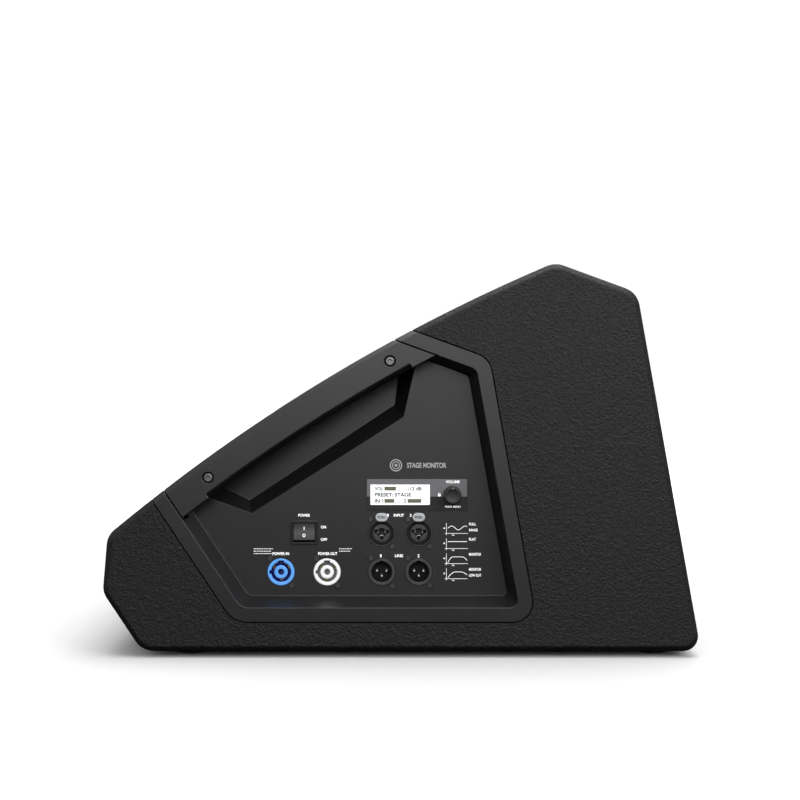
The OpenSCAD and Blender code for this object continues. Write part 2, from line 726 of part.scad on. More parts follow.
amp_y = floor_y + wall;
module amp_heatsink() {
  color("#a9adb0") {
    translate([-48, amp_y + 40, 34]) cube([118, 6, 22]);
    for (i = [0:8]) translate([-46 + i * 13.9, amp_y + 46 - fine, 34]) cube([3, 22, 22]);
  }
}
module amp_board() { color("#1d5b36") translate([-50, amp_y + 34, 58]) cube([122, 1.6, 96]); }
module power_transformer() {
  color("#d9a441") {
    translate([-6, amp_y + 36, 92]) rotate([-90, 0, 0]) tube(16, 6, 22);
  }
  color("#2b2b2b") translate([-6, amp_y + 36, 92]) rotate([-90, 0, 0]) cylinder(r = 5.8, h = 23);
}
module filter_capacitors() {
  color("#20262e") for (i = [0:3]) translate([24 + (i % 2) * 26, amp_y + 35.8, 76 + floor(i / 2) * 30])
    rotate([-90, 0, 0]) {
      cylinder(r = 10.5, h = 30);
      translate([0, 0, 30 - fine]) cylinder(r = 9, h = 0.6);
    }
}
module dsp_board() {
  color("#16406a") {
    translate([-34, floor_y + wall + 8, 122]) cube([64, 1.6, 34]);
    for (x = [-24, 0, 16]) translate([x, floor_y + wall + 9.6 - fine, 130]) cube([9, 1.4, 9]);
  }
}
// From the amplifier to the woofer's terminals and to the horn driver
module speaker_cables() {
  color("#9c2f2a") wire([[66, amp_y + 39, 130], [96, amp_y + 62, 120], [104, -80, 100], [104, -50, 60], [96, -6, 44]], 2.2);
  color("#202020") wire([[66, amp_y + 39, 144], [104, amp_y + 64, 148], [114, -86, 132], [96, -66, 112]], 2.2);
}
wadding_t = 24;
module damping_wadding() {
  color("#d8d4c8") across(-half_w + ply + 40, half_w - ply - 6) intersection() {
    polygon([meet(shift(shell_edges, ply + 1)[2], shift(shell_edges, ply + 1)[3]),
             meet(shift(shell_edges, ply + 1)[3], shift(shell_edges, ply + 1)[4]),
             meet(shift(shell_edges, ply + 1 + wadding_t)[3], shift(shell_edges, ply + 1)[4]),
             meet(shift(shell_edges, ply + 1)[2], shift(shell_edges, ply + 1 + wadding_t)[3])]);
    translate([0, 34]) square([300, 240]);
  }
}

// ---- Coaxial driver: z = 0 is the baffle's front face ----

frame_t = 6;
cone_edge = frame_r - 46;
spider_z = -64;
plate_z = -98;
gap_r = coil_r + 2.2;
module driver_basket() {
  color("#2d2f31") on_driver() difference() {
    rotate_extrude($fn = 96) polygon([
      [frame_r - 20, 0.02], [frame_r, 0.02], [frame_r, frame_t], [frame_r - 22, frame_t], [frame_r - 22, 0.5],
      [frame_r - 27, 0.5], [116, spider_z + 2], [92, spider_z + 2], [92, plate_z + 4], [coil_r + 6, plate_z + 4],
      [coil_r + 6, plate_z], [96, plate_z], [96, spider_z - 3], [118, spider_z - 3], [frame_r - 20, -6]
    ]);
    for (i = [0:7]) rotate([0, 0, i * 45 - 15])
      rotate_extrude(angle = 30, $fn = 96) polygon([[124, -50], [124, -64], [160, -26], [160, -4]]);
    for (i = [0:7]) rotate([0, 0, i * 45]) translate([80, -14, -92]) cube([30, 28, 20]);
    ring_of(8, screw_circle, 22.5) translate([0, 0, -1]) cylinder(r = 3.1, h = frame_t + 4, $fn = 24);
  }
}
module frame_gasket() {
  color("#0e0e0e") on_driver() translate([0, 0, frame_t]) difference() {
    tube(frame_r - 1, frame_r - 22, 2, $fn = 96);
    ring_of(8, screw_circle, 22.5) translate([0, 0, -1]) cylinder(r = 5.4, h = 4, $fn = 24);
  }
}
module driver_screws() {
  color("#3f4042") on_driver() ring_of(8, screw_circle, 22.5) translate([0, 0, frame_t]) button_screw(5, 3, 2.9, 34, 2.4);
}
// The cone runs from the surround down to the former
module woofer_cone() {
  color("#161616") on_driver() rotate_extrude($fn = 96) polygon([
    [cone_edge, -2], [cone_edge + 3, -2], [cone_edge + 3, -1], [cone_edge - 0.4, -1], [coil_r + 1.6, -58], [coil_r + 1.6, -60.4]
  ]);
}
module cone_surround() {
  roll = (frame_r - 25 - (cone_edge + 4)) / 2;
  mid = cone_edge + 4 + roll;
  color("#101010") on_driver() rotate_extrude($fn = 96) {
    difference() {
      translate([mid, 0.6]) intersection() {
        circle(r = roll + fine);
        translate([-40, 0]) square([80, 40]);
      }
      translate([mid, 0.6]) circle(r = roll - 1.2);
    }
    translate([frame_r - 26, 0.6]) square([3.8, 1.2]);
  }
}
// Flat pleated disc between the former and the basket's shelf
module cone_spider() {
  color("#b98f4a") on_driver() rotate_extrude($fn = 96) {
    n = 5;
    r0 = coil_r + 2.6;
    pitch = (90 - r0) / n;
    for (i = [0:n - 1]) polygon([
      [r0 + i * pitch, spider_z + 3.0], [r0 + (i + 0.5) * pitch, spider_z + 6.0], [r0 + (i + 1) * pitch, spider_z + 3.0],
      [r0 + (i + 1) * pitch, spider_z + 3.8], [r0 + (i + 0.5) * pitch, spider_z + 6.8], [r0 + i * pitch, spider_z + 3.8]
    ]);
    translate([90 - fine, spider_z + 2.02]) square([20, 1.8]);
  }
}
module voice_coil() {
  color("#b46a2c") on_driver() {
    translate([0, 0, plate_z - 14]) tube(coil_r + 0.4, coil_r - 0.2, 53, $fn = 96);
    translate([0, 0, plate_z - 12]) tube(coil_r + 1.2, coil_r + 0.4, 16, $fn = 96);
    translate([0, 0, -60.4]) tube(coil_r + 1.6, coil_r + 0.4, 2.4, $fn = 96);
  }
}
module magnet_top_plate() { color("#55585b") on_driver() translate([0, 0, plate_z - 8]) tube(magnet_r, gap_r, 8, $fn = 96); }
module magnet_ring() { color("#26282a") on_driver() translate([0, 0, plate_z - 28]) tube(magnet_r - 2, gap_r + 8, 20, $fn = 96); }
throat_r = 13;
module pole_plate() {
  color("#55585b") on_driver() rotate_extrude($fn = 96) polygon([
    [throat_r, plate_z - 38], [magnet_r, plate_z - 38], [magnet_r, plate_z - 28], [coil_r - 1.2, plate_z - 28],
    [coil_r - 1.2, plate_z + 4], [throat_r, plate_z + 4]
  ]);
}
// Round waveguide standing on the pole piece
horn_r = 74;
horn_front = -12;
module horn() {
  color("#18181a") on_driver() rotate_extrude($fn = 96) {
    flare = [for (i = [0:12]) [throat_r + (horn_r - throat_r) * pow(i / 12, 1.9), plate_z + 4 + (horn_front - plate_z - 4) * i / 12]];
    polygon(concat(flare, [[horn_r + 3, horn_front], [horn_r + 3, horn_front - 2]],
                   [for (i = [11:-1:0]) flare[i] + [3 + 3 * (1 - i / 12), i > 6 ? -2 : 0]]));
  }
}
hf_z = plate_z - 38;
module hf_housing() {
  color("#3c3f42") on_driver() translate([0, 0, hf_z - 10]) difference() {
    cylinder(r = 50, h = 10, $fn = 96);
    translate([0, 0, -1]) cylinder(r1 = 19, r2 = throat_r, h = 12);
  }
}
module hf_magnet() {
  color("#26282a") on_driver() translate([0, 0, hf_z - 22]) tube(48, 27, 12, $fn = 96);
}
// Dome with its short coil former, free to move a fraction of a millimetre
module hf_diaphragm() {
  color("#c9ccd0") on_driver() rotate_extrude($fn = 96) {
    difference() {
      translate([0, hf_z - 32]) intersection() {
        circle(r = 27);
        translate([0, 16.6]) square([40, 20]);
      }
      translate([0, hf_z - 32]) circle(r = 26.4);
    }
    translate([20.9, hf_z - 21]) square([0.8, 6]);
  }
}
module hf_rear_cap() {
  color("#1f2022") on_driver() translate([0, 0, hf_z - 33]) difference() {
    union() {
      cylinder(r1 = 44, r2 = 49, h = 3, $fn = 96);
      translate([0, 0, 3]) cylinder(r = 49, h = 8, $fn = 96);
    }
    translate([0, 0, 2.4]) cylinder(r = 30, h = 10);
  }
}

side_panel_io();
side_panel_far();
base_panel();
rear_panel();
top_panel();
nose_panel();
lower_front_panel();
baffle_board();
grille_cleats();
front_grille();
grille_foam();
grille_screws();
port_tubes();
rubber_feet();
foot_and_socket_screws();
io_tray();
carry_handle();
handle_screws();
pole_socket();
display_window();
display_module();
encoder_body();
encoder_actuator();
encoder_shaft();
volume_knob();
switch_housing();
switch_rocker();
power_in_socket();
power_out_socket();
power_contacts();
combo_socket_1();
combo_socket_2();
combo_latch_1();
combo_latch_2();
thru_socket_1();
thru_socket_2();
signal_contacts();
connector_screws();
amp_heatsink();
amp_board();
power_transformer();
filter_capacitors();
dsp_board();
speaker_cables();
damping_wadding();
driver_basket();
frame_gasket();
driver_screws();
woofer_cone();
cone_surround();
cone_spider();
voice_coil();
magnet_top_plate();
magnet_ring();
pole_plate();
horn();
hf_housing();
hf_magnet();
hf_diaphragm();
hf_rear_cap();
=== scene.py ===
"""The stage monitor wedge's shell, grille, tray, controls and print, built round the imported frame."""

import json
import math
import random

import bmesh
import bpy
from mathutils import Matrix, Vector
from mathutils.geometry import convex_hull_2d


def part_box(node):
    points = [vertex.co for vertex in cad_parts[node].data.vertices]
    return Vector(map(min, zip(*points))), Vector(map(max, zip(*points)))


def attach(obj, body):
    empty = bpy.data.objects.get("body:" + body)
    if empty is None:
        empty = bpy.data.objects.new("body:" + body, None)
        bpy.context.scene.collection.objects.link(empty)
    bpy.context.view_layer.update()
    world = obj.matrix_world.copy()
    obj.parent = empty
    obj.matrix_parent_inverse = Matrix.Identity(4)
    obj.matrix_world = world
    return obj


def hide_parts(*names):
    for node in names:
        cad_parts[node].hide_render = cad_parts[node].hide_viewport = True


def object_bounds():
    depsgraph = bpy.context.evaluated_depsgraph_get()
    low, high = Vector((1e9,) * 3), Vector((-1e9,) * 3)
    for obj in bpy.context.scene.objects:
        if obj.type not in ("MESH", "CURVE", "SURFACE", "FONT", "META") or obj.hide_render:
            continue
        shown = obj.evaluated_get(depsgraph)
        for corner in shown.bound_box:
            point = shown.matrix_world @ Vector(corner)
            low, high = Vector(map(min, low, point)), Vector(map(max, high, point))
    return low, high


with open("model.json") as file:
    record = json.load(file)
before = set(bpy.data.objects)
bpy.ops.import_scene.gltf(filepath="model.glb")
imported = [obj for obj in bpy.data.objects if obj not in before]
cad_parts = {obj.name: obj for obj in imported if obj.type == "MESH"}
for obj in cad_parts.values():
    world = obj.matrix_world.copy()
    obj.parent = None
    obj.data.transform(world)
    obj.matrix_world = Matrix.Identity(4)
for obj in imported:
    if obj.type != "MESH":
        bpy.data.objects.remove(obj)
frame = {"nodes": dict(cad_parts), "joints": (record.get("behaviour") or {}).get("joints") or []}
cad_low, cad_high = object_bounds()
MM = 0.001
ROOT = "cabinet"


# ---- Side outlines, read from the frame: points are 2D vectors of x and z ----

def node_points(node, keep=lambda p: True):
    return [v.co for v in frame["nodes"][node].data.vertices if keep(v.co)]


def unit(angle):
    return Vector((math.cos(angle), math.sin(angle)))


def turn_between(u, v):
    return math.atan2(u.x * v.y - u.y * v.x, u.dot(v))


def meet(a, b):
    """Where two lines, each a point and a direction, cross."""
    cross = a[1].x * b[1].y - a[1].y * b[1].x
    gap = b[0] - a[0]
    return a[0] + a[1] * ((gap.x * b[1].y - gap.y * b[1].x) / cross)


def circle_through(a, b, c):
    mid_ab, mid_bc = (a + b) / 2, (b + c) / 2
    centre = meet((mid_ab, Vector((a.y - b.y, b.x - a.x))), (mid_bc, Vector((b.y - c.y, c.x - b.x))))
    return centre, (a - centre).length


class Outline:
    """A convex side outline: straight edges with rounded corners, closed by the curved front."""
    LONG = 30 * MM
    NEAR_FRONT = 12 * MM
    FRONT_CORNER = 0.5 * MM
    LEAST_RADIUS = 0.3 * MM
    SAME_WAY = math.radians(0.3)
    STEPS = 8
    ARC_STEPS = 72

    def __init__(self, node, front=None, keep=lambda p: True):
        """Reads the outline from a node. One that is cut into another's front takes that front's arc."""
        points = [Vector((p.x, p.z)) for p in node_points(node, keep)]
        hull = [points[i] for i in convex_hull_2d(points)]
        if sum(a.x * b.y - a.y * b.x for a, b in zip(hull, hull[1:] + hull[:1])) < 0:
            hull.reverse()
        runs = self.straight_runs(hull)
        if front is not None:
            self.centre, self.r = front.centre, front.r
            middles = [(hull[a] + hull[b]) / 2 for a, b in runs]
            runs = [run for run, p in zip(runs, middles)
                    if self.r - (p - self.centre).length > self.NEAR_FRONT]
        after = runs[1:] + runs[:1]
        reach = [(hull[b[0]] - hull[a[1]]).length for a, b in zip(runs, after)]
        start = reach.index(max(reach)) + 1
        runs = runs[start:] + runs[:start]
        if front is None:
            steps = (runs[0][0] - runs[-1][1]) % len(hull)
            arc = [hull[(runs[-1][1] + int(steps * share)) % len(hull)] for share in (0.25, 0.5, 0.75)]
            self.centre, self.r = circle_through(*arc)
        self.edges = [(hull[a], (hull[b] - hull[a]).normalized()) for a, b in runs]
        self.radii = [self.corner_radius(meet(e, f), e[1], f[1], hull[run[1]])
                      for e, f, run in zip(self.edges, self.edges[1:], runs)]
        first, last = self.on_front(self.edges[0], self.r), self.on_front(self.edges[-1], self.r)
        ends = [self.corner_radius(first, self.tangent(first), self.edges[0][1], hull[runs[0][0]]),
                self.corner_radius(last, self.edges[-1][1], self.tangent(last), hull[runs[-1][1]])]
        ends = ends if front is None else [self.FRONT_CORNER] * 2
        self.radii = ends[:1] + self.radii + ends[1:]

    def straight_runs(self, hull):
        """Index pairs of the hull's long straight stretches, each joined over points that lie along it."""
        count = len(hull)
        way = [hull[(i + 1) % count] - hull[i] for i in range(count)]
        start = next(i for i in range(count) if abs(turn_between(way[i - 1], way[i])) > self.SAME_WAY)
        runs, i = [], start
        while i < start + count:
            j = i + 1
            while j < start + count and abs(turn_between(way[i % count], way[j % count])) < self.SAME_WAY:
                j += 1
            if (hull[j % count] - hull[i % count]).length > self.LONG:
                runs.append((i % count, j % count))
            i = j
        return runs

    @staticmethod
    def corner_radius(corner, u, v, tangent_point):
        return (corner - tangent_point).length / math.tan(abs(turn_between(u, v)) / 2)

    def tangent(self, p):
        away = (p - self.centre).normalized()
        return Vector((-away.y, away.x))

    def on_front(self, edge, r):
        """Where an edge crosses the arc of radius r, nearest to the front."""
        start, way = edge
        off = start - self.centre
        b = off.dot(way)
        root = math.sqrt(b * b - off.dot(off) + r * r)
        return max((start + way * (-b - root), start + way * (-b + root)), key=lambda p: p.y)

    def shifted(self, inset):
        return [(p + Vector((-d.y, d.x)) * inset, d) for p, d in self.edges]

    def angle(self, p):
        return math.atan2(p.y - self.centre.y, p.x - self.centre.x)

    def at(self, angle, r):
        return self.centre + unit(angle) * r

    def loop(self, inset=0.0, front=None):
        """The outline's points, moved inwards by inset, and its front by front. Every loop has as many."""
        r = self.r - (inset if front is None else front)
        edges = self.shifted(inset)
        radii = [max(x - inset, self.LEAST_RADIUS) for x in self.radii]
        first, last = self.on_front(edges[0], r), self.on_front(edges[-1], r)
        points = self.fillet(first, self.tangent(first), edges[0][1], radii[0])
        for e, f, radius in zip(edges, edges[1:], radii[1:]):
            points += self.fillet(meet(e, f), e[1], f[1], radius)
        points += self.fillet(last, edges[-1][1], self.tangent(last), radii[-1])
        a0, a1 = self.angle(points[-1]), self.angle(points[0])
        points += [self.at(a0 + (a1 - a0) * k / self.ARC_STEPS, r) for k in range(1, self.ARC_STEPS)]
        return points

    def fillet(self, corner, u, v, r):
        turn = turn_between(u, v)
        centre = corner - u * (r * math.tan(turn / 2)) + Vector((-u.y, u.x)) * r
        start = math.atan2(u.y, u.x) - math.pi / 2
        return [centre + unit(start + turn * k / self.STEPS) * r for k in range(self.STEPS + 1)]

    def band(self, outer, inner, a0, a1, steps=40):
        """The region between two radii, given as depths below the front, and two angles."""
        angles = [a0 + (a1 - a0) * k / steps for k in range(steps + 1)]
        out = [self.at(a, self.r - outer) for a in angles]
        back = [self.at(a, self.r - inner) for a in reversed(angles)]
        return out + back


# ---- Mesh tools ----

WELD = 0.002 * MM


def to_object(name, bm, closed=True):
    if closed:
        bmesh.ops.recalc_face_normals(bm, faces=bm.faces)
    mesh = bpy.data.meshes.new(name)
    bm.to_mesh(mesh)
    bm.free()
    obj = bpy.data.objects.new(name, mesh)
    bpy.context.scene.collection.objects.link(obj)
    return obj


def loft(loops, name="part"):
    """A closed solid through loops of 3D points, all of one length."""
    bm = bmesh.new()
    rings = [[bm.verts.new(p) for p in loop] for loop in loops]
    for lower, upper in zip(rings, rings[1:]):
        for i in range(len(lower)):
            j = (i + 1) % len(lower)
            bm.faces.new((lower[i], lower[j], upper[j], upper[i]))
    bm.faces.new(list(reversed(rings[0])))
    bm.faces.new(rings[-1])
    return to_object(name, bm)


def at_depth(points, y):
    return [Vector((p.x, y, p.y)) for p in points]


def prism(points, y0, y1, name="part"):
    return loft([at_depth(points, y0), at_depth(points, y1)], name)


def lathe(profile, origin, axis, segments=64, name="part"):
    """Turns a closed profile of (radius, height) points about an axis. A radius of 0 closes on the axis."""
    axis = Vector(axis).normalized()
    side = axis.orthogonal().normalized()
    up = axis.cross(side)
    bm = bmesh.new()
    rings = []
    for r, h in profile:
        base = Vector(origin) + axis * h
        if r == 0:
            rings.append([bm.verts.new(base)])
        else:
            angles = (2 * math.pi * k / segments for k in range(segments))
            rings.append([bm.verts.new(base + (side * math.cos(a) + up * math.sin(a)) * r) for a in angles])
    for lower, upper in zip(rings, rings[1:] + rings[:1]):
        for k in range(segments):
            corners = [lower[k % len(lower)], lower[(k + 1) % len(lower)],
                       upper[(k + 1) % len(upper)], upper[k % len(upper)]]
            unique = list(dict.fromkeys(corners))
            if len(unique) > 2:
                bm.faces.new(unique)
    return to_object(name, bm)


def bake(obj):
    """Applies the object's modifiers to its mesh."""
    graph = bpy.context.evaluated_depsgraph_get()
    mesh = bpy.data.meshes.new_from_object(obj.evaluated_get(graph))
    obj.modifiers.clear()
    old, obj.data = obj.data, mesh
    bpy.data.meshes.remove(old)
    return obj


def combine(obj, tool, operation="DIFFERENCE"):
    modifier = obj.modifiers.new("combine", "BOOLEAN")
    modifier.operation = operation
    modifier.solver = "EXACT"
    modifier.object = tool
    bake(obj)
    bpy.data.objects.remove(tool)
    return obj


def join(objects, name):
    """One object from several, as a group of separate solids."""
    bm = bmesh.new()
    for o in objects:
        bm.from_mesh(o.data)
        bpy.data.objects.remove(o)
    return to_object(name, bm)


def smooth(obj, sharp_deg=32):
    """Smooth shading that keeps flat faces flat and edges over sharp_deg crisp."""
    obj.data.polygons.foreach_set("use_smooth", [True] * len(obj.data.polygons))
    obj.data.set_sharp_from_angle(angle=math.radians(sharp_deg))
    weights = obj.modifiers.new("normals", "WEIGHTED_NORMAL")
    weights.keep_sharp = True
    return obj


def change(mesh, operation):
    """Runs an operation on a mesh, opened as a bmesh."""
    bm = bmesh.new()
    bm.from_mesh(mesh)
    operation(bm)
    bm.to_mesh(mesh)
    bm.free()


def triangulate(obj):
    """Splits every face into triangles, so that a deeply notched face keeps its shape when its edges move."""
    change(obj.data, lambda bm: bmesh.ops.triangulate(bm, faces=bm.faces))
    return obj


def soften(obj, width, segments=2, angle_deg=30):
    """Rounds every edge sharper than angle_deg."""
    bevel = obj.modifiers.new("soften", "BEVEL")
    bevel.width = width
    bevel.segments = segments
    bevel.limit_method = "ANGLE"
    bevel.angle_limit = math.radians(angle_deg)
    bevel.use_clamp_overlap = False
    bevel.miter_outer = "MITER_ARC"
    bake(obj)
    return smooth(obj)


def keep_inside(obj, *nodes):
    """Moves any point that a rounded corner pushed out back onto the box round its nodes."""
    boxes = [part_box(node) for node in nodes]
    low = [min(box[0][k] for box in boxes) for k in range(3)]
    high = [max(box[1][k] for box in boxes) for k in range(3)]
    for v in obj.data.vertices:
        v.co = [min(max(c, a), b) for c, a, b in zip(v.co, low, high)]
    return obj


def merge_flats(obj, angle_deg=0.6):
    """Joins faces that lie in one plane."""
    limit = math.radians(angle_deg)
    change(obj.data, lambda bm: bmesh.ops.dissolve_limit(
        bm, angle_limit=limit, verts=bm.verts, edges=bm.edges))
    return obj


def from_node(node, name):
    """A welded copy of a CAD node's mesh."""
    bm = bmesh.new()
    bm.from_mesh(frame["nodes"][node].data)
    bmesh.ops.remove_doubles(bm, verts=bm.verts, dist=WELD)
    return to_object(name, bm)


def place(obj, material, slot, *nodes, body=ROOT):
    """Gives a finished piece its material and body, and lets it stand for its CAD nodes."""
    if material is not None:
        obj.data.materials.clear()
        obj.data.materials.append(material)
    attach(obj, body)
    if nodes:
        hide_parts(*nodes)
    return obj


# ---- Sizes that the pieces share, from the frame where it has them ----

SIDE_Y, HALF_W = cad_low.y, cad_high.y
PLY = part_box("side_panel_io")[1].y - SIDE_Y
BEVEL = 4.5 * MM
GAP = 0.8 * MM
CLEAR = 20 * MM     # how far a cut runs out past the front
WINDOW_SINK = 1.2 * MM
FLOOR_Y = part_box("display_window")[1].y - WINDOW_SINK
GRILLE_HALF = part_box("front_grille")[1].y

shell = Outline("side_panel_far")
rim = Outline("io_tray", front=shell, keep=lambda p: p.y < SIDE_Y + 4.5 * MM)


def centre(node):
    """The middle of a node's box in the side view."""
    low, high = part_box(node)
    return Vector(((low.x + high.x) / 2, (low.z + high.z) / 2))


def size(node):
    low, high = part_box(node)
    return Vector((high.x - low.x, high.z - low.z))


def rounded_rect(c, width, height, r, steps=6):
    points = []
    for k, (sx, sy) in enumerate([(1, 1), (-1, 1), (-1, -1), (1, -1)]):
        pivot = c + Vector((sx * (width / 2 - r), sy * (height / 2 - r)))
        angles = [math.pi / 2 * (k + i / steps) for i in range(steps + 1)]
        points += [pivot + unit(a) * r for a in angles]
    return points


def disc(c, r, steps=64):
    return [c + unit(2 * math.pi * k / steps) * r for k in range(steps)]


def slab(points, low, high, name="part"):
    """A prism that stands on the connector panel, from one height above its floor to another."""
    return prism(points, FLOOR_Y - high, FLOOR_Y - low, name)


def turned(c, profile_mm, name="part", segments=96):
    """A lathed solid that stands on the connector panel. Its profile is in millimetres."""
    profile = [(r * MM, h * MM) for r, h in profile_mm]
    return lathe(profile, (c.x, FLOOR_Y, c.y), (0, -1, 0), segments, name)


# ---- Procedural materials ----

def srgb(*channels):
    """Linear colour of three 0 to 255 screen values."""
    shares = [c / 255 for c in channels]
    return [s / 12.92 if s <= 0.04045 else ((s + 0.055) / 1.055) ** 2.4 for s in shares] + [1.0]


class Surface:
    """A Principled material whose colour, roughness and bump come from textures in object space."""

    def __init__(self, name, rough=0.5, metallic=0.0, specular=0.5):
        self.material = bpy.data.materials.new(name)
        self.material.use_nodes = True
        self.tree = self.material.node_tree
        self.shader = self.tree.nodes["Principled BSDF"]
        self.shader.inputs["Roughness"].default_value = rough
        self.shader.inputs["Metallic"].default_value = metallic
        self.shader.inputs["Specular IOR Level"].default_value = specular
        self.place = self.tree.nodes.new("ShaderNodeTexCoord").outputs["Object"]
        self.normal = None

    def noise(self, size_mm, detail=2.0, stretch=(1, 1, 1)):
        node = self.tree.nodes.new("ShaderNodeTexNoise")
        node.inputs["Scale"].default_value = 1 / (size_mm * MM)
        node.inputs["Detail"].default_value = detail
        self.tree.links.new(self.stretched(stretch), node.inputs["Vector"])
        return node.outputs["Fac"]

    def cells(self, size_mm, feature="SMOOTH_F1"):
        node = self.tree.nodes.new("ShaderNodeTexVoronoi")
        node.feature = feature
        node.inputs["Scale"].default_value = 1 / (size_mm * MM)
        self.tree.links.new(self.place, node.inputs["Vector"])
        return node.outputs["Distance"]

    def stretched(self, stretch):
        if stretch == (1, 1, 1):
            return self.place
        node = self.tree.nodes.new("ShaderNodeVectorMath")
        node.operation = "MULTIPLY"
        node.inputs[1].default_value = stretch
        self.tree.links.new(self.place, node.inputs[0])
        return node.outputs["Vector"]

    def along(self, axis, start, end):
        """A factor that runs from 0 to 1 between two places along an axis."""
        split = self.tree.nodes.new("ShaderNodeSeparateXYZ")
        self.tree.links.new(self.place, split.inputs["Vector"])
        node = self.tree.nodes.new("ShaderNodeMapRange")
        node.inputs["From Min"].default_value = start
        node.inputs["From Max"].default_value = end
        self.tree.links.new(split.outputs[axis], node.inputs["Value"])
        return node.outputs["Result"]

    def mix(self, a, b, share):
        node = self.tree.nodes.new("ShaderNodeMix")
        node.inputs["Factor"].default_value = share
        self.tree.links.new(a, node.inputs["A"])
        self.tree.links.new(b, node.inputs["B"])
        return node.outputs["Result"]

    def colour(self, factor, dark, light, low=0.3, high=0.7):
        ramp = self.tree.nodes.new("ShaderNodeValToRGB")
        ramp.color_ramp.elements[0].position = low
        ramp.color_ramp.elements[1].position = high
        ramp.color_ramp.elements[0].color = dark
        ramp.color_ramp.elements[1].color = light
        self.tree.links.new(factor, ramp.inputs["Fac"])
        self.tree.links.new(ramp.outputs["Color"], self.shader.inputs["Base Color"])
        return self

    def rough(self, factor, low, high):
        node = self.tree.nodes.new("ShaderNodeMapRange")
        node.inputs["To Min"].default_value = low
        node.inputs["To Max"].default_value = high
        self.tree.links.new(factor, node.inputs["Value"])
        self.tree.links.new(node.outputs["Result"], self.shader.inputs["Roughness"])
        return self

    def bump(self, height, depth_mm):
        node = self.tree.nodes.new("ShaderNodeBump")
        node.inputs["Distance"].default_value = depth_mm * MM
        self.tree.links.new(height, node.inputs["Height"])
        if self.normal is not None:
            self.tree.links.new(self.normal, node.inputs["Normal"])
        self.normal = node.outputs["Normal"]
        self.tree.links.new(self.normal, self.shader.inputs["Normal"])
        return self

    def glow(self, colour, strength):
        self.shader.inputs["Emission Color"].default_value = colour
        self.shader.inputs["Emission Strength"].default_value = strength
        return self


def textured_paint():
    """Hard structured paint: rounded grains with finer grains between them."""
    s = Surface("textured_paint", specular=0.22)
    grain = s.mix(s.cells(2.0), s.noise(0.95, detail=3), 0.45)
    s.colour(grain, srgb(8, 8, 9), srgb(32, 32, 34), 0.28, 0.72)
    s.rough(s.noise(7), 0.44, 0.56)
    return s.bump(s.noise(5, detail=1), 0.25).bump(grain, 0.75).material


def moulding(name, shade, rough, grain_mm=0.35, depth_mm=0.012, specular=0.5):
    """Moulded plastic with a fine satin grain."""
    s = Surface(name, specular=specular)
    dark, light = [[c * share for c in shade[:3]] + [1.0] for share in (0.88, 1.12)]
    s.colour(s.noise(24), dark, light)
    s.rough(s.noise(3, detail=4), rough - 0.05, rough + 0.05)
    return s.bump(s.noise(grain_mm, detail=3), depth_mm).material


def metal(name, shade, rough, stretch=(1, 1, 1), metallic=1.0):
    """Bare or plated metal, with fine scratches along the short side of the stretch."""
    s = Surface(name, metallic=metallic)
    dark, light = [[c * share for c in shade[:3]] + [1.0] for share in (0.82, 1.1)]
    s.colour(s.noise(5, detail=4), dark, light)
    s.rough(s.noise(0.8, detail=3, stretch=stretch), rough - 0.07, rough + 0.08)
    return s.bump(s.noise(0.4, stretch=stretch), 0.006).material


def powder_coat():
    s = Surface("powder_coat", specular=0.45)
    s.colour(s.noise(12), srgb(24, 24, 26), srgb(34, 34, 36))
    s.rough(s.noise(1.5), 0.42, 0.55)
    return s.bump(s.noise(0.7, detail=1), 0.03).material


def open_foam():
    s = Surface("open_foam", rough=0.95, specular=0.1)
    cells = s.cells(1.4)
    s.colour(cells, srgb(6, 6, 7), srgb(22, 22, 23), 0.1, 0.7)
    return s.bump(cells, 0.5).material


def soft_rubber():
    s = Surface("soft_rubber", specular=0.3)
    s.colour(s.noise(6, detail=4), srgb(20, 20, 20), srgb(31, 31, 31))
    s.rough(s.noise(2), 0.72, 0.88)
    return s.bump(s.noise(0.5), 0.03).material


def woven(name, dark, light, thread_mm=1.2, depth_mm=0.12, rough=0.85):
    """Cloth or pressed fibre: two crossed sets of stretched noise."""
    s = Surface(name, rough=rough, specular=0.25)
    weave = s.mix(s.noise(thread_mm, stretch=(1, 6, 1)), s.noise(thread_mm, stretch=(6, 1, 6)), 0.5)
    s.colour(weave, dark, light)
    return s.bump(weave, depth_mm).material


def window_painted_reflection():
    """Smoked panel over the display, with a painted reflection: its upper half is painted lighter than its
    lower half.
    """
    s = Surface("window_painted_reflection", rough=0.2, specular=0.5)
    middle = centre("display_window").y - 1.4 * MM
    # Painted reflection: a sharp step from the dark lower colour to the light upper one, 1.4 mm below the
    # window's middle.
    reflection_line = s.along("Z", middle - 0.2 * MM, middle + 0.2 * MM)
    s.colour(reflection_line, srgb(42, 42, 44), srgb(108, 108, 111), 0.0, 1.0)
    return s.rough(s.noise(9), 0.16, 0.24).material


def nylon(name, face, deep):
    """Connector nylon, pale on the exposed face, with painted shade: the colour darkens from the face to the
    deep colour inside the socket.
    """
    s = Surface(name, specular=0.5)
    # Painted shade: darker with depth behind the panel's face.
    s.colour(s.along("Y", FLOOR_Y + 0.2 * MM, FLOOR_Y + 2.5 * MM), face, deep, 0.0, 1.0)
    return s.rough(s.noise(3, detail=4), 0.3, 0.4).bump(s.noise(0.35, detail=3), 0.012).material


def lit(name, shade, glow, strength):
    """A printed or back-lit surface with a glow. On the back-lit screen the glow is its backlight; on print
    the glow is painted light that keeps it bright in the shade of the recess.
    """
    s = Surface(name, rough=0.55, specular=0.3)
    dark, light = [[c * share for c in shade[:3]] + [1.0] for share in (0.94, 1.0)]
    s.colour(s.noise(2), dark, light)
    return s.glow(glow, strength).material


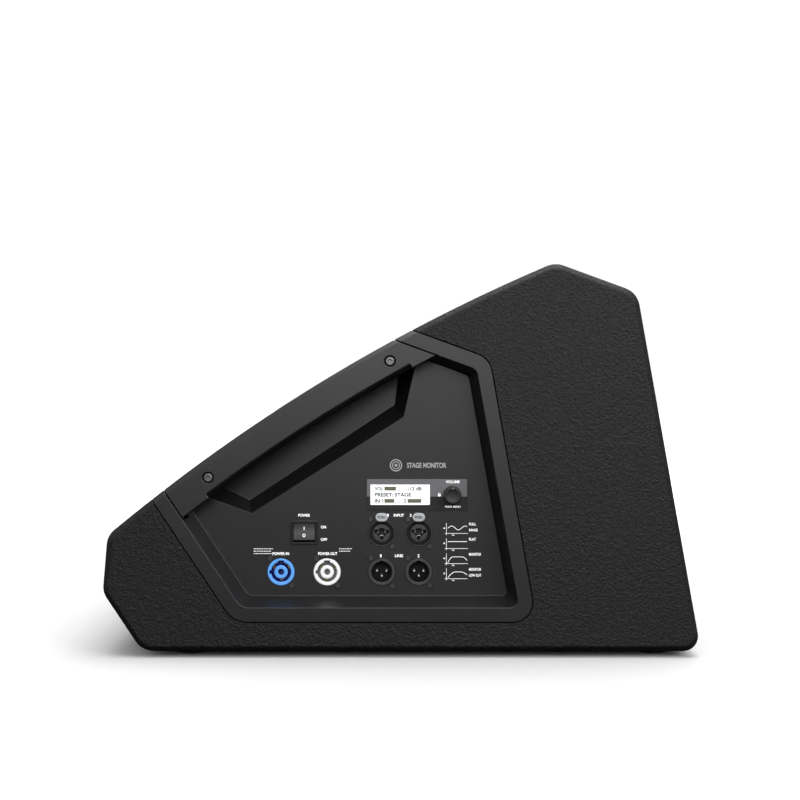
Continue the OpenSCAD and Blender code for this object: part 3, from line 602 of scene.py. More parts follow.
MATERIALS = {
    "paint": textured_paint(),
    "grille": powder_coat(),
    "foam": open_foam(),
    "rubber": soft_rubber(),
    "tray": moulding("tray_moulding", srgb(23, 23, 25), 0.36, specular=0.4),
    "grip": moulding("grip_moulding", srgb(26, 26, 28), 0.36, specular=0.42),
    "socket": moulding("socket_moulding", srgb(33, 33, 35), 0.40),
    "socket_face": moulding("socket_face", srgb(50, 50, 52), 0.36),
    # Black for the pieces inside the sockets' holes: painted shade, darker than the sockets' faces.
    "painted_shade_black": moulding("painted_shade_black", srgb(11, 11, 12), 0.6, specular=0.2),
    "gloss_black": moulding("gloss_black", srgb(26, 26, 28), 0.24, depth_mm=0.004),
    "rocker": moulding("rocker_gloss", srgb(34, 34, 37), 0.42, depth_mm=0.004, specular=0.4),
    "knob": moulding("knob_moulding", srgb(25, 25, 27), 0.5, specular=0.35),
    # The second nylon colour is painted shade inside the socket.
    "blue": nylon("blue_nylon", srgb(96, 166, 244), srgb(12, 38, 168)),
    "grey": nylon("grey_nylon", srgb(246, 246, 247), srgb(196, 196, 197)),
    "latch": moulding("latch_nylon", srgb(172, 174, 177), 0.36),
    "window": window_painted_reflection(),
    "screen": lit("screen_glow", srgb(225, 228, 230), srgb(238, 241, 243), 0.62),
    # Also used for the release tabs' word, where its faint glow is painted light.
    "screen_ink": lit("screen_ink", srgb(42, 43, 42), srgb(40, 40, 40), 0.05),
    "screen_bar": lit("screen_bar", srgb(98, 97, 80), srgb(92, 92, 76), 0.2),
    # The print's glow is painted light: print is no lamp.
    "print": lit("panel_ink", srgb(235, 235, 235), srgb(235, 235, 235), 0.5),
    "soft_print": lit("grey_ink", srgb(150, 150, 151), srgb(150, 150, 151), 0.35),
    "black_steel": metal("black_steel", srgb(70, 70, 73), 0.38, metallic=0.8),
    "zinc": metal("dull_zinc", srgb(104, 103, 106), 0.4),
    "steel": metal("plated_steel", srgb(150, 151, 153), 0.30),
    "silver": metal("silver_plate", srgb(240, 240, 237), 0.42),
    "brass": metal("contact_brass", srgb(206, 168, 92), 0.28),
    "copper": metal("enamelled_copper", srgb(190, 112, 62), 0.34, stretch=(1, 8, 1)),
    "aluminium": metal("bare_aluminium", srgb(176, 178, 181), 0.33, stretch=(1, 1, 9)),
    "cast": metal("coated_casting", srgb(58, 60, 62), 0.5, metallic=0.6),
    "foil": metal("dome_foil", srgb(200, 202, 206), 0.2),
    "ferrite": moulding("ferrite", srgb(58, 59, 61), 0.62, grain_mm=0.8, depth_mm=0.04),
    "green_board": moulding("green_board", srgb(32, 98, 58), 0.38, grain_mm=2.5, depth_mm=0.05),
    "blue_board": moulding("blue_board", srgb(28, 72, 118), 0.38, grain_mm=2.5, depth_mm=0.05),
    "sleeve": moulding("capacitor_sleeve", srgb(34, 42, 54), 0.3),
    "cable": moulding("cable_jacket", srgb(150, 44, 38), 0.45),
    "stained_board": woven("stained_board", srgb(22, 20, 18), srgb(38, 35, 31), 2.4, 0.1, 0.7),
    "wadding": woven("wadding", srgb(190, 186, 172), srgb(228, 225, 214), 2.2, 0.8, 0.95),
    "cone_paper": woven("cone_paper", srgb(24, 24, 24), srgb(38, 37, 36), 1.8, 0.1, 0.8),
    "roll_cloth": woven("roll_cloth", srgb(18, 18, 18), srgb(30, 30, 30), 1.0, 0.1, 0.7),
    "spider_cloth": woven("spider_cloth", srgb(150, 112, 62), srgb(188, 148, 88), 0.9, 0.12),
}


# ---- Cabinet: one painted body with its openings ----

RIM_SINK = 4.3 * MM
TUB_INSET = 8.4 * MM
LEG_INSET = 12 * MM
LEG_SPREAD = math.radians(1.5)
SIDE_ROUND, CUT_ROUND = 1.3 * MM, 0.4 * MM
CUP_RECESS, CUP_CORNER, CUP_DEPTH = 64.6 * MM, 6.3 * MM, 4.5 * MM
CUP_HOLE_R = 21.15 * MM


def below_plane(points, level, across):
    """The part of a polygon on the low side of a line, given as a distance along a direction."""
    kept = []
    for p, q in zip(points, points[1:] + points[:1]):
        a, b = p.dot(across) - level, q.dot(across) - level
        if a <= 0:
            kept.append(p)
        if a * b < 0:
            kept.append(p + (q - p) * (a / (a - b)))
    return kept


def baffle_plane():
    """The baffle's front face in the side view, as a distance along its outward direction."""
    axis = next(j for j in frame["joints"] if j["name"] == "cone_travel")["axis"]
    out = Vector((axis[0], axis[2])).normalized()
    return max(Vector((p.x, p.z)).dot(out) for p in node_points("baffle_board")), out


def cabinet_shell():
    sections = [(BEVEL, SIDE_Y), (0.0, SIDE_Y + BEVEL), (0.0, HALF_W - BEVEL), (BEVEL, HALF_W)]
    body = loft([at_depth(shell.loop(inset), y) for inset, y in sections], "cabinet_shell")
    soften(body, SIDE_ROUND, 3)
    bake(body)
    combine(body, prism(below_plane(shell.loop(PLY), *baffle_plane()), SIDE_Y + PLY, HALF_W - PLY))
    opening = GRILLE_HALF + 0.5 * MM
    combine(body, prism(shell.loop(PLY, front=-CLEAR), -opening, opening))
    mouth = rim.loop(-GAP, front=-CLEAR)
    combine(body, prism(mouth, SIDE_Y - MM, SIDE_Y + RIM_SINK))
    combine(body, prism(rim.loop(TUB_INSET, front=-CLEAR), SIDE_Y - MM, MM - opening))
    legs = prism(mouth, SIDE_Y - MM, -opening + MM)
    ends = [shell.angle(rim.on_front(edge, rim.r)) for edge in (rim.edges[-1], rim.edges[0])]
    front = shell.band(-2 * CLEAR, LEG_INSET + GAP, ends[0] - LEG_SPREAD, ends[1] + LEG_SPREAD)
    combine(legs, prism(front, SIDE_Y - 2 * MM, -opening + 2 * MM), "INTERSECT")
    combine(body, legs)
    cup = centre("pole_socket")
    flange_back = HALF_W - CUP_DEPTH
    combine(body, prism(rounded_rect(cup, CUP_RECESS, CUP_RECESS, CUP_CORNER), flange_back, HALF_W + MM))
    combine(body, prism(disc(cup, CUP_HOLE_R), HALF_W - PLY - MM, flange_back + MM))
    soften(triangulate(body), CUT_ROUND, 2, 50)
    keep_inside(bake(body), "side_panel_io", "side_panel_far")
    smooth(merge_flats(body, 0.02))
    nodes = ["side_panel_io", "side_panel_far", "base_panel", "rear_panel", "top_panel", "nose_panel",
             "lower_front_panel", "grille_cleats"]
    place(body, MATERIALS["paint"], "cabinet_paint", *nodes)


# ---- Front grille: a perforated sheet bent round the front, with its sides folded back ----

SHEET_T = 1.5 * MM
GRILLE_DROP = 1.5 * MM
FOLD_R = 2.5 * MM
LIP = 12 * MM
HOLE_PITCH = 7.4 * MM
HOLE_ACROSS = 5.3 * MM
HOLE_BORDER = 1.2 * HOLE_PITCH
FOLD_STEPS = 4


def honeycomb(half_width, length, border):
    """A flat sheet of hexagonal cells, centred in x and from 0 in y. Cells within the border have a hole."""
    bm = bmesh.new()
    found = {}

    def corner(x, y):
        key = round(x / MM * 37), round(y / MM * 37)
        if key not in found:
            found[key] = bm.verts.new((x, y, 0))
        return found[key]

    ways = [unit(math.radians(a)) for a in range(30, 390, 60)]
    outer, inner = HOLE_PITCH / math.sqrt(3), HOLE_ACROSS / math.sqrt(3)
    row_pitch = HOLE_PITCH * math.sqrt(3) / 2
    columns, rows = int(half_width / HOLE_PITCH) + 2, int(length / row_pitch) + 2
    for row in range(-1, rows + 1):
        for column in range(-columns, columns + 1):
            c = Vector(((column + 0.5 * (row % 2)) * HOLE_PITCH, row * row_pitch))
            cell = [corner(*(c + w * outer)) for w in ways]
            if abs(c.x) < border and LIP < c.y < length - LIP:
                hole = [bm.verts.new((*(c + w * inner), 0)) for w in ways]
                for k in range(6):
                    bm.faces.new((cell[k], cell[(k + 1) % 6], hole[(k + 1) % 6], hole[k]))
            else:
                bm.faces.new(cell)
    return bm


def cut_flat(bm, point, normal, clear=False, keep=lambda f: True):
    """Cuts faces along a plane, always in the same order. clear removes what lies beyond the plane."""
    faces = [f for f in bm.faces if keep(f)]
    edges = dict.fromkeys(e for f in faces for e in f.edges)
    verts = dict.fromkeys(v for f in faces for v in f.verts)
    bmesh.ops.bisect_plane(bm, geom=[*verts, *edges, *faces], dist=1e-7, plane_co=point, plane_no=normal,
                           clear_outer=clear)


def front_grille():
    r = shell.r - GRILLE_DROP
    inner_edges = shell.shifted(PLY + MM)
    start = shell.angle(shell.on_front(inner_edges[-1], r))
    end = shell.angle(shell.on_front(inner_edges[0], r))
    length = (end - start) * r
    flat = GRILLE_HALF - FOLD_R
    folded = flat + FOLD_R * math.pi / 2
    half = folded + LIP - FOLD_R
    bm = honeycomb(half, length, flat - HOLE_BORDER)
    for point, normal in [((half, 0, 0), (1, 0, 0)), ((-half, 0, 0), (-1, 0, 0)),
                          ((0, 0, 0), (0, -1, 0)), ((0, length, 0), (0, 1, 0))]:
        cut_flat(bm, point, normal, clear=True)
    for k in range(FOLD_STEPS + 1):
        x = flat + (folded - flat) * k / FOLD_STEPS
        cut_flat(bm, (x, 0, 0), (1, 0, 0), keep=lambda f: f.calc_center_bounds().x > flat - HOLE_PITCH)
        cut_flat(bm, (-x, 0, 0), (1, 0, 0), keep=lambda f: f.calc_center_bounds().x < HOLE_PITCH - flat)
    mouth = rim.shifted(-GAP)
    lip_ends = [(rim.angle(rim.on_front(edge, r)) - start) * r for edge in (mouth[-1], mouth[0])]

    def on_lip(f):
        return f.calc_center_median().x < -folded

    for s in lip_ends:
        cut_flat(bm, (0, s, 0), (0, 1, 0), keep=on_lip)
    gone = [f for f in bm.faces if on_lip(f) and lip_ends[0] < f.calc_center_median().y < lip_ends[1]]
    bmesh.ops.delete(bm, geom=gone, context="FACES")
    for v in bm.verts:
        over = abs(v.co.x) - flat
        bend = min(max(over / FOLD_R, 0.0), math.pi / 2)
        y = min(abs(v.co.x), flat) + FOLD_R * math.sin(bend)
        depth = FOLD_R * (1 - math.cos(bend)) + max(over - FOLD_R * math.pi / 2, 0.0)
        spot = shell.at(start + v.co.y / r, r - depth)
        v.co = Vector((spot.x, math.copysign(y, v.co.x), spot.y))
    sheet = to_object("perforated_grille", bm, closed=False)
    solidify = sheet.modifiers.new("thickness", "SOLIDIFY")
    solidify.thickness = SHEET_T
    solidify.offset = -1
    bake(sheet)
    smooth(sheet, 40)
    place(sheet, MATERIALS["grille"], "grille_steel", "front_grille")


def grille_foam():
    """A sheet of foam that lines the grille from edge to edge, in front of the tray's finger well."""
    near, far = 3.1 * MM, 6.2 * MM
    edges = shell.shifted(PLY + 20 * MM)
    start, end = [shell.angle(shell.on_front(edge, shell.r - near)) for edge in (edges[-1], edges[0])]
    half = GRILLE_HALF - 3 * MM
    sheet = smooth(prism(shell.band(near, far, start, end), -half, half, "foam_lining"))
    place(sheet, MATERIALS["foam"], "acoustic_foam", "grille_foam")


# ---- Connector tray and handle ----

SCREW_OFFSET = Vector((9.5, 12)) * MM
SOCKET_HOLE_R, SCREW_HOLE_R, SHAFT_HOLE_R = 12.15 * MM, 1.8 * MM, 5 * MM
SWITCH_HOLE = Vector((21.2, 18.8)) * MM
LATCH_GAP = 0.3 * MM
LCD_EDGE = 4 * MM
FLOOR_AREA = [(-122, 52), (62, 52), (62, 157), (-40, 157), (-122, 118)]    # x and z in millimetres
CONNECTORS = ["combo_socket_1", "combo_socket_2", "thru_socket_1", "thru_socket_2", "power_in_socket",
              "power_out_socket"]


def through(points):
    """A cutter right through the tray's floor."""
    return slab(points, -6 * MM, 2 * MM)


def latch_outline(c, grow=0.0, steps=16):
    """A pill with round ends."""
    box = size("combo_latch_1")
    return rounded_rect(c, box.x + 2 * grow, box.y + 2 * grow, box.y / 2 + grow - 0.001 * MM, steps)


def panel_cuts():
    """The holes through the tray's floor, except the latches' and the window's."""
    cuts = []
    for node in CONNECTORS:
        c = centre(node)
        cuts.append(through(disc(c, SOCKET_HOLE_R, 72)))
        for side in (-1, 1):
            cuts.append(through(disc(c + SCREW_OFFSET * Vector((-side, side)), SCREW_HOLE_R, 24)))
    cuts.append(through(rounded_rect(centre("switch_housing"), SWITCH_HOLE.x, SWITCH_HOLE.y, 0.4 * MM)))
    cuts.append(through(disc(centre("volume_knob"), SHAFT_HOLE_R, 48)))
    screen = size("display_module") - Vector((6, 6)) * MM
    cuts.append(through(rounded_rect(centre("display_module"), screen.x, screen.y, 0.5 * MM)))
    return join(cuts, "cuts")


def connector_tray():
    """The CAD tray with its floor closed, its edges rounded, and finer openings cut."""
    body = from_node("io_tray", "connector_tray")
    combine(body, slab([Vector(p) * MM for p in FLOOR_AREA], -3 * MM, 0.0), "UNION")
    merge_flats(body)
    soften(body, 0.55 * MM, 3)
    merge_flats(keep_inside(bake(body), "io_tray"), 0.02)
    combine(body, panel_cuts())
    window = size("display_window") + Vector((0.4, 0.4)) * MM
    pocket = rounded_rect(centre("display_window"), window.x, window.y, 0.9 * MM)
    combine(body, slab(pocket, -WINDOW_SINK, 2 * MM))
    for node in ("combo_latch_1", "combo_latch_2"):
        combine(body, through(latch_outline(centre(node), LATCH_GAP)))
    smooth(body)
    place(body, MATERIALS["tray"], "tray_plastic", "io_tray")


def rounded_copy(node, name, width_mm, material, slot, segments=2, body=ROOT):
    """A CAD part with its edges rounded."""
    piece = soften(merge_flats(from_node(node, name)), width_mm * MM, segments)
    return place(keep_inside(piece, node), MATERIALS[material], slot, node, body=body)


def handle_screws():
    """Two flat heads with a deep hexagon socket."""
    socket_r, socket_depth = 2.1 * MM, 2.6 * MM
    heads = rounded_copy("handle_screws", "handle_screw_heads", 0.3, "zinc", "zinc_screws")
    middle = centre("handle_screws").x
    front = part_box("handle_screws")[0].y
    for side in (-1, 1):
        points = [p for p in node_points("handle_screws") if (p.x - middle) * side > 0]
        low = Vector((min(p.x for p in points), min(p.z for p in points)))
        high = Vector((max(p.x for p in points), max(p.z for p in points)))
        combine(heads, prism(disc((low + high) / 2, socket_r, 6), front - MM, front + socket_depth))
    smooth(heads)


# ---- Connectors: each body is turned from (radius, height) points in millimetres ----

POWER_BODY = [(0, -22), (11.9, -22), (11.9, 0.2), (11.3, 0.8), (9.4, 0.8), (8.8, 0.2), (8.8, -14),
              (5.9, -14), (5.9, -0.1), (5.3, 0.5), (3.2, 0.5), (2.7, 0.0), (2.7, -12), (0, -12)]
COMBO_BODY = [(0, -24), (11.9, -24), (11.9, 0.8), (11.5, 1.2), (11.1, 1.2), (10.8, 0.9), (10.6, 0.3),
              (10.6, -16), (7.8, -16), (7.8, -0.9), (7.3, -0.4), (4.3, -0.4), (3.9, -0.8), (3.9, -20),
              (0, -20)]
COLLAR = [(0.7, -6.9), (1.45, -6.9), (1.45, -13.9), (1.72, -13.9), (1.72, -6.2), (0.7, -6.2)]
THRU_BODY = [(0, -20), (11.9, -20), (11.9, 0.6), (11.5, 1.0), (9.7, 1.0), (9.3, 0.7), (9.0, 0.1),
             (8.8, -0.6), (8.8, -14), (0, -14)]
THRU_LINING = [(0, -13.9), (8.7, -13.9), (8.7, -1.6), (8.5, -1.6), (8.5, -13.2), (0, -13.2)]
PIN_HOLES = [Vector(p) * MM for p in [(-4.9, 1.2), (4.9, 1.2), (0, -4.5)]]
PIN_HOLE_R = 1.75 * MM


def with_flange(body, c):
    """Adds the mounting flange, which sits behind the panel."""
    flange = slab(rounded_rect(c, 26 * MM, 31 * MM, 2 * MM), -5 * MM, -3 * MM)
    combine(flange, slab(disc(c, 11 * MM), -6 * MM, -2 * MM))
    return combine(body, flange, "UNION")


def rect(c, x0, x1, z0, z1):
    """A rectangle's corners, from millimetres either side of a point."""
    return [c + Vector(p) * MM for p in [(x0, z0), (x1, z0), (x1, z1), (x0, z1)]]


def power_socket(node, name, material, slot):
    """A locking power socket: a ring and a hub, with two keyways in the ring."""
    c = centre(node)
    body = with_flange(turned(c, POWER_BODY, name), c)
    keyways = [rect(c, -2.6, 2.6, 8, 10.2), rect(c, -10.2, -8, -1.6, 1.6)]
    combine(body, join([slab(keyway, -14 * MM, 2 * MM) for keyway in keyways], "keys"))
    place(smooth(body), MATERIALS[material], slot, node)


def combo_socket(node, latch, name):
    """A combined XLR and jack socket, with a collar in each pin hole that is coloured black as painted shade.
    """
    c = centre(node)
    body = with_flange(turned(c, COMBO_BODY, name), c)
    combine(body, join([slab(disc(c + p, PIN_HOLE_R, 32), -14 * MM, 2 * MM) for p in PIN_HOLES], "pins"))
    combine(body, slab(latch_outline(centre(latch), LATCH_GAP), -6 * MM, 3 * MM))
    place(smooth(body), MATERIALS["socket_face"], "socket_black", node)
    collars = [turned(c + p, COLLAR, "collar", 32) for p in PIN_HOLES]
    place(smooth(join(collars, name + "_collars")), MATERIALS["painted_shade_black"], "socket_black")


def thru_socket(node, name):
    """An XLR through socket with a lining coloured black as painted shade. One keyway runs through both."""
    c = centre(node)
    body = with_flange(turned(c, THRU_BODY, name), c)
    lining = turned(c, THRU_LINING, name + "_lining")
    for part in (body, lining):
        combine(part, slab(rect(c, -1.6, 1.6, 8, 10.0), -13 * MM, 2 * MM))
        smooth(part)
    place(body, MATERIALS["socket_face"], "socket_black", node)
    place(lining, MATERIALS["painted_shade_black"], "socket_black")


def release_tab(node, name, body_name):
    """A pill-shaped tab with a domed face, and its stem."""
    c = centre(node)
    heights = [(0.0, -3.4), (0.0, 1.2), (0.15, 1.5), (0.5, 1.72), (1.2, 1.8)]
    loops = [at_depth(latch_outline(c, -inset * MM), FLOOR_Y - h * MM) for inset, h in heights]
    tab = smooth(loft(loops, name), 50)
    place(tab, MATERIALS["latch"], "latch_plastic", node, body=body_name)
    words = Print()
    words.text("PUSH", c, 6.4, 2.2, 1.8)
    # The word's faint glow is painted light.
    words.piece(name + "_word", "screen_ink", "socket_black", body_name)


# ---- Print: generic words, digits and pictograms ----

class Print:
    """Thin raised print on the connector panel. Widths and heights are in millimetres."""
    THICK = 0.08 * MM
    ROOTED = 0.02 * MM
    LETTER_WELD = 0.0002 * MM
    WEIGHT = 0.03

    def __init__(self):
        self.bm = bmesh.new()

    def outline(self, points, above=0.0):
        """A filled outline. It starts a little below its face, so that no gap shows."""
        shape = slab(points, above * MM - self.ROOTED, above * MM + self.THICK)
        self.bm.from_mesh(shape.data)
        bpy.data.objects.remove(shape)

    def ring(self, c, r, width, above=0.0, steps=32):
        """A flat ring, in four pieces so that each is a simple outline."""
        for quarter in range(4):
            angles = [math.pi / 2 * (quarter + k / steps * 4) for k in range(steps // 4 + 1)]
            outer = [c + unit(a) * (r * MM) for a in angles]
            inner = [c + unit(a) * ((r - width) * MM) for a in reversed(angles)]
            self.outline(outer + inner, above)

    def stroke(self, points, width, above=0.0):
        """A line of even width through points."""
        ways = [(q - p).normalized() for p, q in zip(points, points[1:])]
        ways = [ways[0]] + [(a + b).normalized() for a, b in zip(ways, ways[1:])] + [ways[-1]]
        sides = [Vector((-w.y, w.x)) * (width / 2 * MM) for w in ways]
        right = [p - s for p, s in zip(points, sides)]
        self.outline(right + [p + s for p, s in reversed(list(zip(points, sides)))], above)

    def text(self, words, c, width, height, above=0.0, matrix=None):
        """Words scaled to a width and height, upright on the panel, or on the plane of a matrix."""
        curve = bpy.data.curves.new("words", "FONT")
        curve.body = words
        curve.extrude = 0.5
        curve.offset = self.WEIGHT
        obj = bpy.data.objects.new("words", curve)
        bpy.context.scene.collection.objects.link(obj)
        bpy.context.view_layer.update()
        graph = bpy.context.evaluated_depsgraph_get()
        mesh = bpy.data.meshes.new_from_object(obj.evaluated_get(graph))
        bpy.data.objects.remove(obj)
        xs, ys = [v.co.x for v in mesh.vertices], [v.co.y for v in mesh.vertices]
        scale = width * MM / (max(xs) - min(xs)), height * MM / (max(ys) - min(ys)), self.THICK
        middle = Vector(((max(xs) + min(xs)) / 2, (max(ys) + min(ys)) / 2, -0.5))
        fit = Matrix.Diagonal((*scale, 1)) @ Matrix.Translation(-middle)
        if matrix is None:
            spot = Matrix.Translation((c.x, FLOOR_Y - above * MM, c.y))
            matrix = spot @ Matrix.Rotation(math.pi / 2, 4, "X")
        mesh.transform(matrix @ fit)
        change(mesh, lambda bm: bmesh.ops.remove_doubles(bm, verts=bm.verts, dist=self.LETTER_WELD))
        self.bm.from_mesh(mesh)
        bpy.data.meshes.remove(mesh)

    def piece(self, name, material, slot, body=ROOT):
        return place(to_object(name, self.bm), MATERIALS[material], slot, body=body)


def offset(c, x, z):
    return c + Vector((x, z)) * MM


def response_curve(kind, c, width, height):
    """Points of a small frequency response above a base line that starts at c."""

    def hump(t, rise, fall, drop):
        """Level between two shares of the width, rising before them and dropping after."""
        return 0.84 * (1 - (1 - min(t / rise, 1)) ** 2 - drop * (max(t - fall, 0) / (1 - fall)) ** 2)

    shapes = {
        "wave": lambda t: 0.67 + 0.26 * math.sin(2 * math.pi * (t - 0.025) / 0.7),
        "flat": lambda t: 0.86,
        "dome": lambda t: hump(t, 0.28, 0.72, 0.6),
        "low_cut": lambda t: hump(t, 0.42, 0.66, 0.5),
    }
    shape = shapes[kind]
    steps = 24
    return [offset(c, width * k / steps, height * shape(k / steps)) for k in range(steps + 1)]


def panel_print():
    ink = Print()
    switch = centre("switch_housing")
    power_in, power_out = centre("power_in_socket"), centre("power_out_socket")
    combos = [centre("combo_socket_1"), centre("combo_socket_2")]
    thrus = [centre("thru_socket_1"), centre("thru_socket_2")]
    knob = centre("volume_knob")
    labels = [
        ("POWER", switch, 0, 15.3, 10.4, 2.5), ("ON", switch, 17.0, 4.9, 4.6, 2.5),
        ("OFF", switch, 17.4, -6.0, 5.6, 2.5), ("POWER IN", power_in, -0.2, 16.1, 14.6, 2.6),
        ("POWER OUT", power_out, 0.6, 16.1, 16.8, 2.6),
        ("INPUT", (combos[0] + combos[1]) / 2, -1.2, 15.5, 9.0, 2.5),
        ("1", combos[0], 5.6, 15.5, 1.2, 2.5), ("2", combos[1], -7.1, 15.5, 1.7, 2.5),
        ("LINK", (thrus[0] + thrus[1]) / 2, -0.9, 14.3, 7.6, 2.5),
        ("1", thrus[0], -0.7, 14.3, 1.2, 2.6), ("2", thrus[1], -0.2, 14.3, 1.7, 2.6),
    ]
    for words, c, x, z, width, height in labels:
        ink.text(words, offset(c, x, z), width, height)
    above = 0.4
    ink.text("VOLUME", offset(knob, 0.4, 11.4), 12.4, 2.4, above)
    ink.text("PRESS: MENU", offset(knob, 0.4, -10.5), 13.6, 1.6, above)
    ink.outline(rect(offset(knob, -11.4, 0), -1.2, 1.2, -1.5, 0.4), above)
    ink.ring(offset(knob, -11.4, 0.6), 1.1, 0.45, above)
    for side, c in [(-1, offset(power_in, -24, 0)), (1, offset(power_out, 10.6, 0))]:
        for line, length in enumerate([17.0, 15.2, 16.2] if side < 0 else [11.4, 9.6]):
            small_print(ink, offset(c, 0, 20.4 - 2.1 * line), length)
    first, pitch = offset(combos[1], 24.3, -0.5), 13.27
    kinds = [("wave", ["FULL", "RANGE"]), ("flat", ["FLAT"]), ("dome", ["MONITOR"]),
             ("low_cut", ["MONITOR", "LOW CUT"])]
    for row, (kind, words) in enumerate(kinds):
        response_graph(ink, kind, words, offset(first, 0, -pitch * row))
    ink.piece("panel_print", "print", "white_plastic")
    badge()


def small_print(ink, c, length):
    """Illegible small print as a row of dashes."""
    draw = random.Random(round(length * 10))
    x = 0.0
    while x < length:
        dash = draw.uniform(0.8, 2.2)
        ink.stroke([offset(c, x, 0), offset(c, min(x + dash, length), 0)], 0.55)
        x += dash + 0.5


def response_graph(ink, kind, words, c):
    """A small graph with its axes, curve and name. c is where its axes cross."""
    ink.stroke([offset(c, 0, 9.1), offset(c, 0, -1.4)], 0.35)
    ink.stroke([offset(c, -1.4, 0), offset(c, 18.9, 0)], 0.35)
    ink.stroke(response_curve(kind, offset(c, 1.2, 0.6), 17.0, 6.4), 0.5)
    ink.text("dB", offset(c, -1.9, 4.6), 1.6, 1.3)
    ink.text("Hz", offset(c, 6.0, -1.4), 2.2, 1.2)
    for line, word in enumerate(words):
        ink.text(word, offset(c, 20.0 + 0.76 * len(word), 8.2 - 5.2 * line), 1.52 * len(word), 2.4)


def badge():
    """A plain ring mark and a generic name, above the display."""
    mark = Print()
    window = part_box("display_window")
    c = Vector((window[0].x, window[1].z)) + Vector((25.6, 12.1)) * MM
    mark.ring(c, 5.4, 0.9)
    mark.ring(c, 3.4, 0.7)
    mark.outline(disc(c, 1.3 * MM, 24))
    mark.text("STAGE MONITOR", offset(c, 27.0, 0), 34.7, 4.6)
    mark.piece("name_print", "soft_print", "white_plastic")


# ---- Display, knob and switch ----

def display():
    c, box = centre("display_window"), size("display_window")
    lcd = size("display_module") - Vector((2, 2)) * LCD_EDGE
    lcd_c = centre("display_module")
    pane = slab(rounded_rect(c, box.x, box.y, 0.8 * MM), -WINDOW_SINK, 0.4 * MM, "display_window_pane")
    soften(pane, 0.2 * MM, 2)
    bake(pane)
    combine(pane, slab(rounded_rect(lcd_c, lcd.x + 0.5 * MM, lcd.y + 0.5 * MM, 0.6 * MM), -2 * MM, 2 * MM))
    combine(pane, slab(disc(centre("volume_knob"), 3.8 * MM), -2 * MM, 2 * MM))
    smooth(pane)
    place(pane, MATERIALS["window"], "smoked_window", "display_window")
    screen = slab(rounded_rect(lcd_c, lcd.x, lcd.y, 0.5 * MM), -6 * MM, 0.2 * MM, "display_screen")
    back = slab(rounded_rect(lcd_c, lcd.x + 2 * LCD_EDGE, lcd.y + 2 * LCD_EDGE, 1 * MM), -8 * MM, -5.8 * MM)
    combine(screen, back, "UNION")
    soften(screen, 0.12 * MM, 2)
    place(screen, MATERIALS["screen"], "lcd_face", "display_module")
    ink, bars = Print(), Print()
    above = 0.2
    row = 5.4
    lines = [("VOL", -18.8, row, 7.2), ("-12 dB", 12.9, row, 12.0), ("PRESET: STAGE", -6.3, 0.0, 32.0),
             ("IN 1", -18.6, -row, 7.6), ("2", 4.2, -row, 2.1)]
    for words, x, z, width in lines:
        ink.text(words, offset(lcd_c, x, z), width, 3.3, above)
    for x, z, width in [(-8.7, row, 10.2), (-9.5, -row, 8.6), (12.6, -row, 12.2)]:
        bars.outline(rect(offset(lcd_c, x, z), -width / 2, width / 2, -1.7, 1.7), above)
    for x, z in [(-2.4, row), (-0.6, row), (1.2, row), (-4.0, -row), (-2.2, -row), (-0.4, -row)]:
        ink.outline(rect(offset(lcd_c, x, z), -0.4, 0.4, -1.6, -1.0), above)
    ink.piece("screen_words", "screen_ink", "lcd_face")
    bars.piece("screen_bars", "screen_bar", "lcd_face")


def volume_knob():
    """A fluted knob with a skirt, a chamfered top and a shallow dish."""
    c = centre("volume_knob")
    steps, flutes = 192, 24
    # radius, height and depth of flute in millimetres
    sections = [(7.6, 1.6, 0), (7.9, 1.9, 0), (7.9, 2.9, 0), (7.75, 3.2, 0), (7.7, 3.3, 0.35),
                (7.5, 12.5, 0.35), (7.2, 13.1, 0.2), (6.6, 13.35, 0.0), (5.6, 13.3, 0.0), (5.2, 13.1, 0.0),
                (1.0, 13.0, 0.0)]
    loops = []
    for r, h, flute in sections:
        ring = []
        for k in range(steps):
            a = 2 * math.pi * k / steps
            cut = flute * max(0.0, math.cos(flutes * a)) ** 0.7
            ring.append(c + unit(a) * ((r - cut) * MM))
        loops.append(at_depth(ring, FLOOR_Y - h * MM))
    knob = loft(loops, "knob_body")
    combine(knob, slab(disc(c, 3.05 * MM, 48), 0.0, 11 * MM))
    smooth(knob, 40)
    place(knob, MATERIALS["knob"], "knob_plastic", "volume_knob", body="volume_control")
    dot = Print()
    dot.outline(rect(c, -0.3, 0.3, 5.7, 6.7), 13.28)
    dot.piece("knob_pointer", "soft_print", "white_plastic", "volume_control")


def mains_switch():
    rounded_copy("switch_housing", "switch_frame", 0.35, "gloss_black", "switch_plastic")
    rounded_copy("switch_rocker", "rocker_cap", 0.45, "rocker", "rocker_plastic", 3, "power_rocker")
    c = centre("switch_housing")
    tilt, sunk = math.radians(80), 3 * MM    # lays a mark along the face at rest; the pivot's depth
    up, lift = 3.1 * MM, 4.95 * MM           # a mark's place from the pivot, along the face and out of it
    face = Matrix.Translation((c.x, FLOOR_Y + sunk, c.y)) @ Matrix.Rotation(tilt, 4, "X")
    marks = Print()
    marks.text("I", None, 0.7, 3.0, matrix=face @ Matrix.Translation((0, up, lift)))
    marks.text("O", None, 2.6, 3.0, matrix=face @ Matrix.Translation((0, -up, lift)))
    marks.piece("rocker_marks", "print", "white_plastic", "power_rocker")


# ---- CAD parts that keep their own shape ----

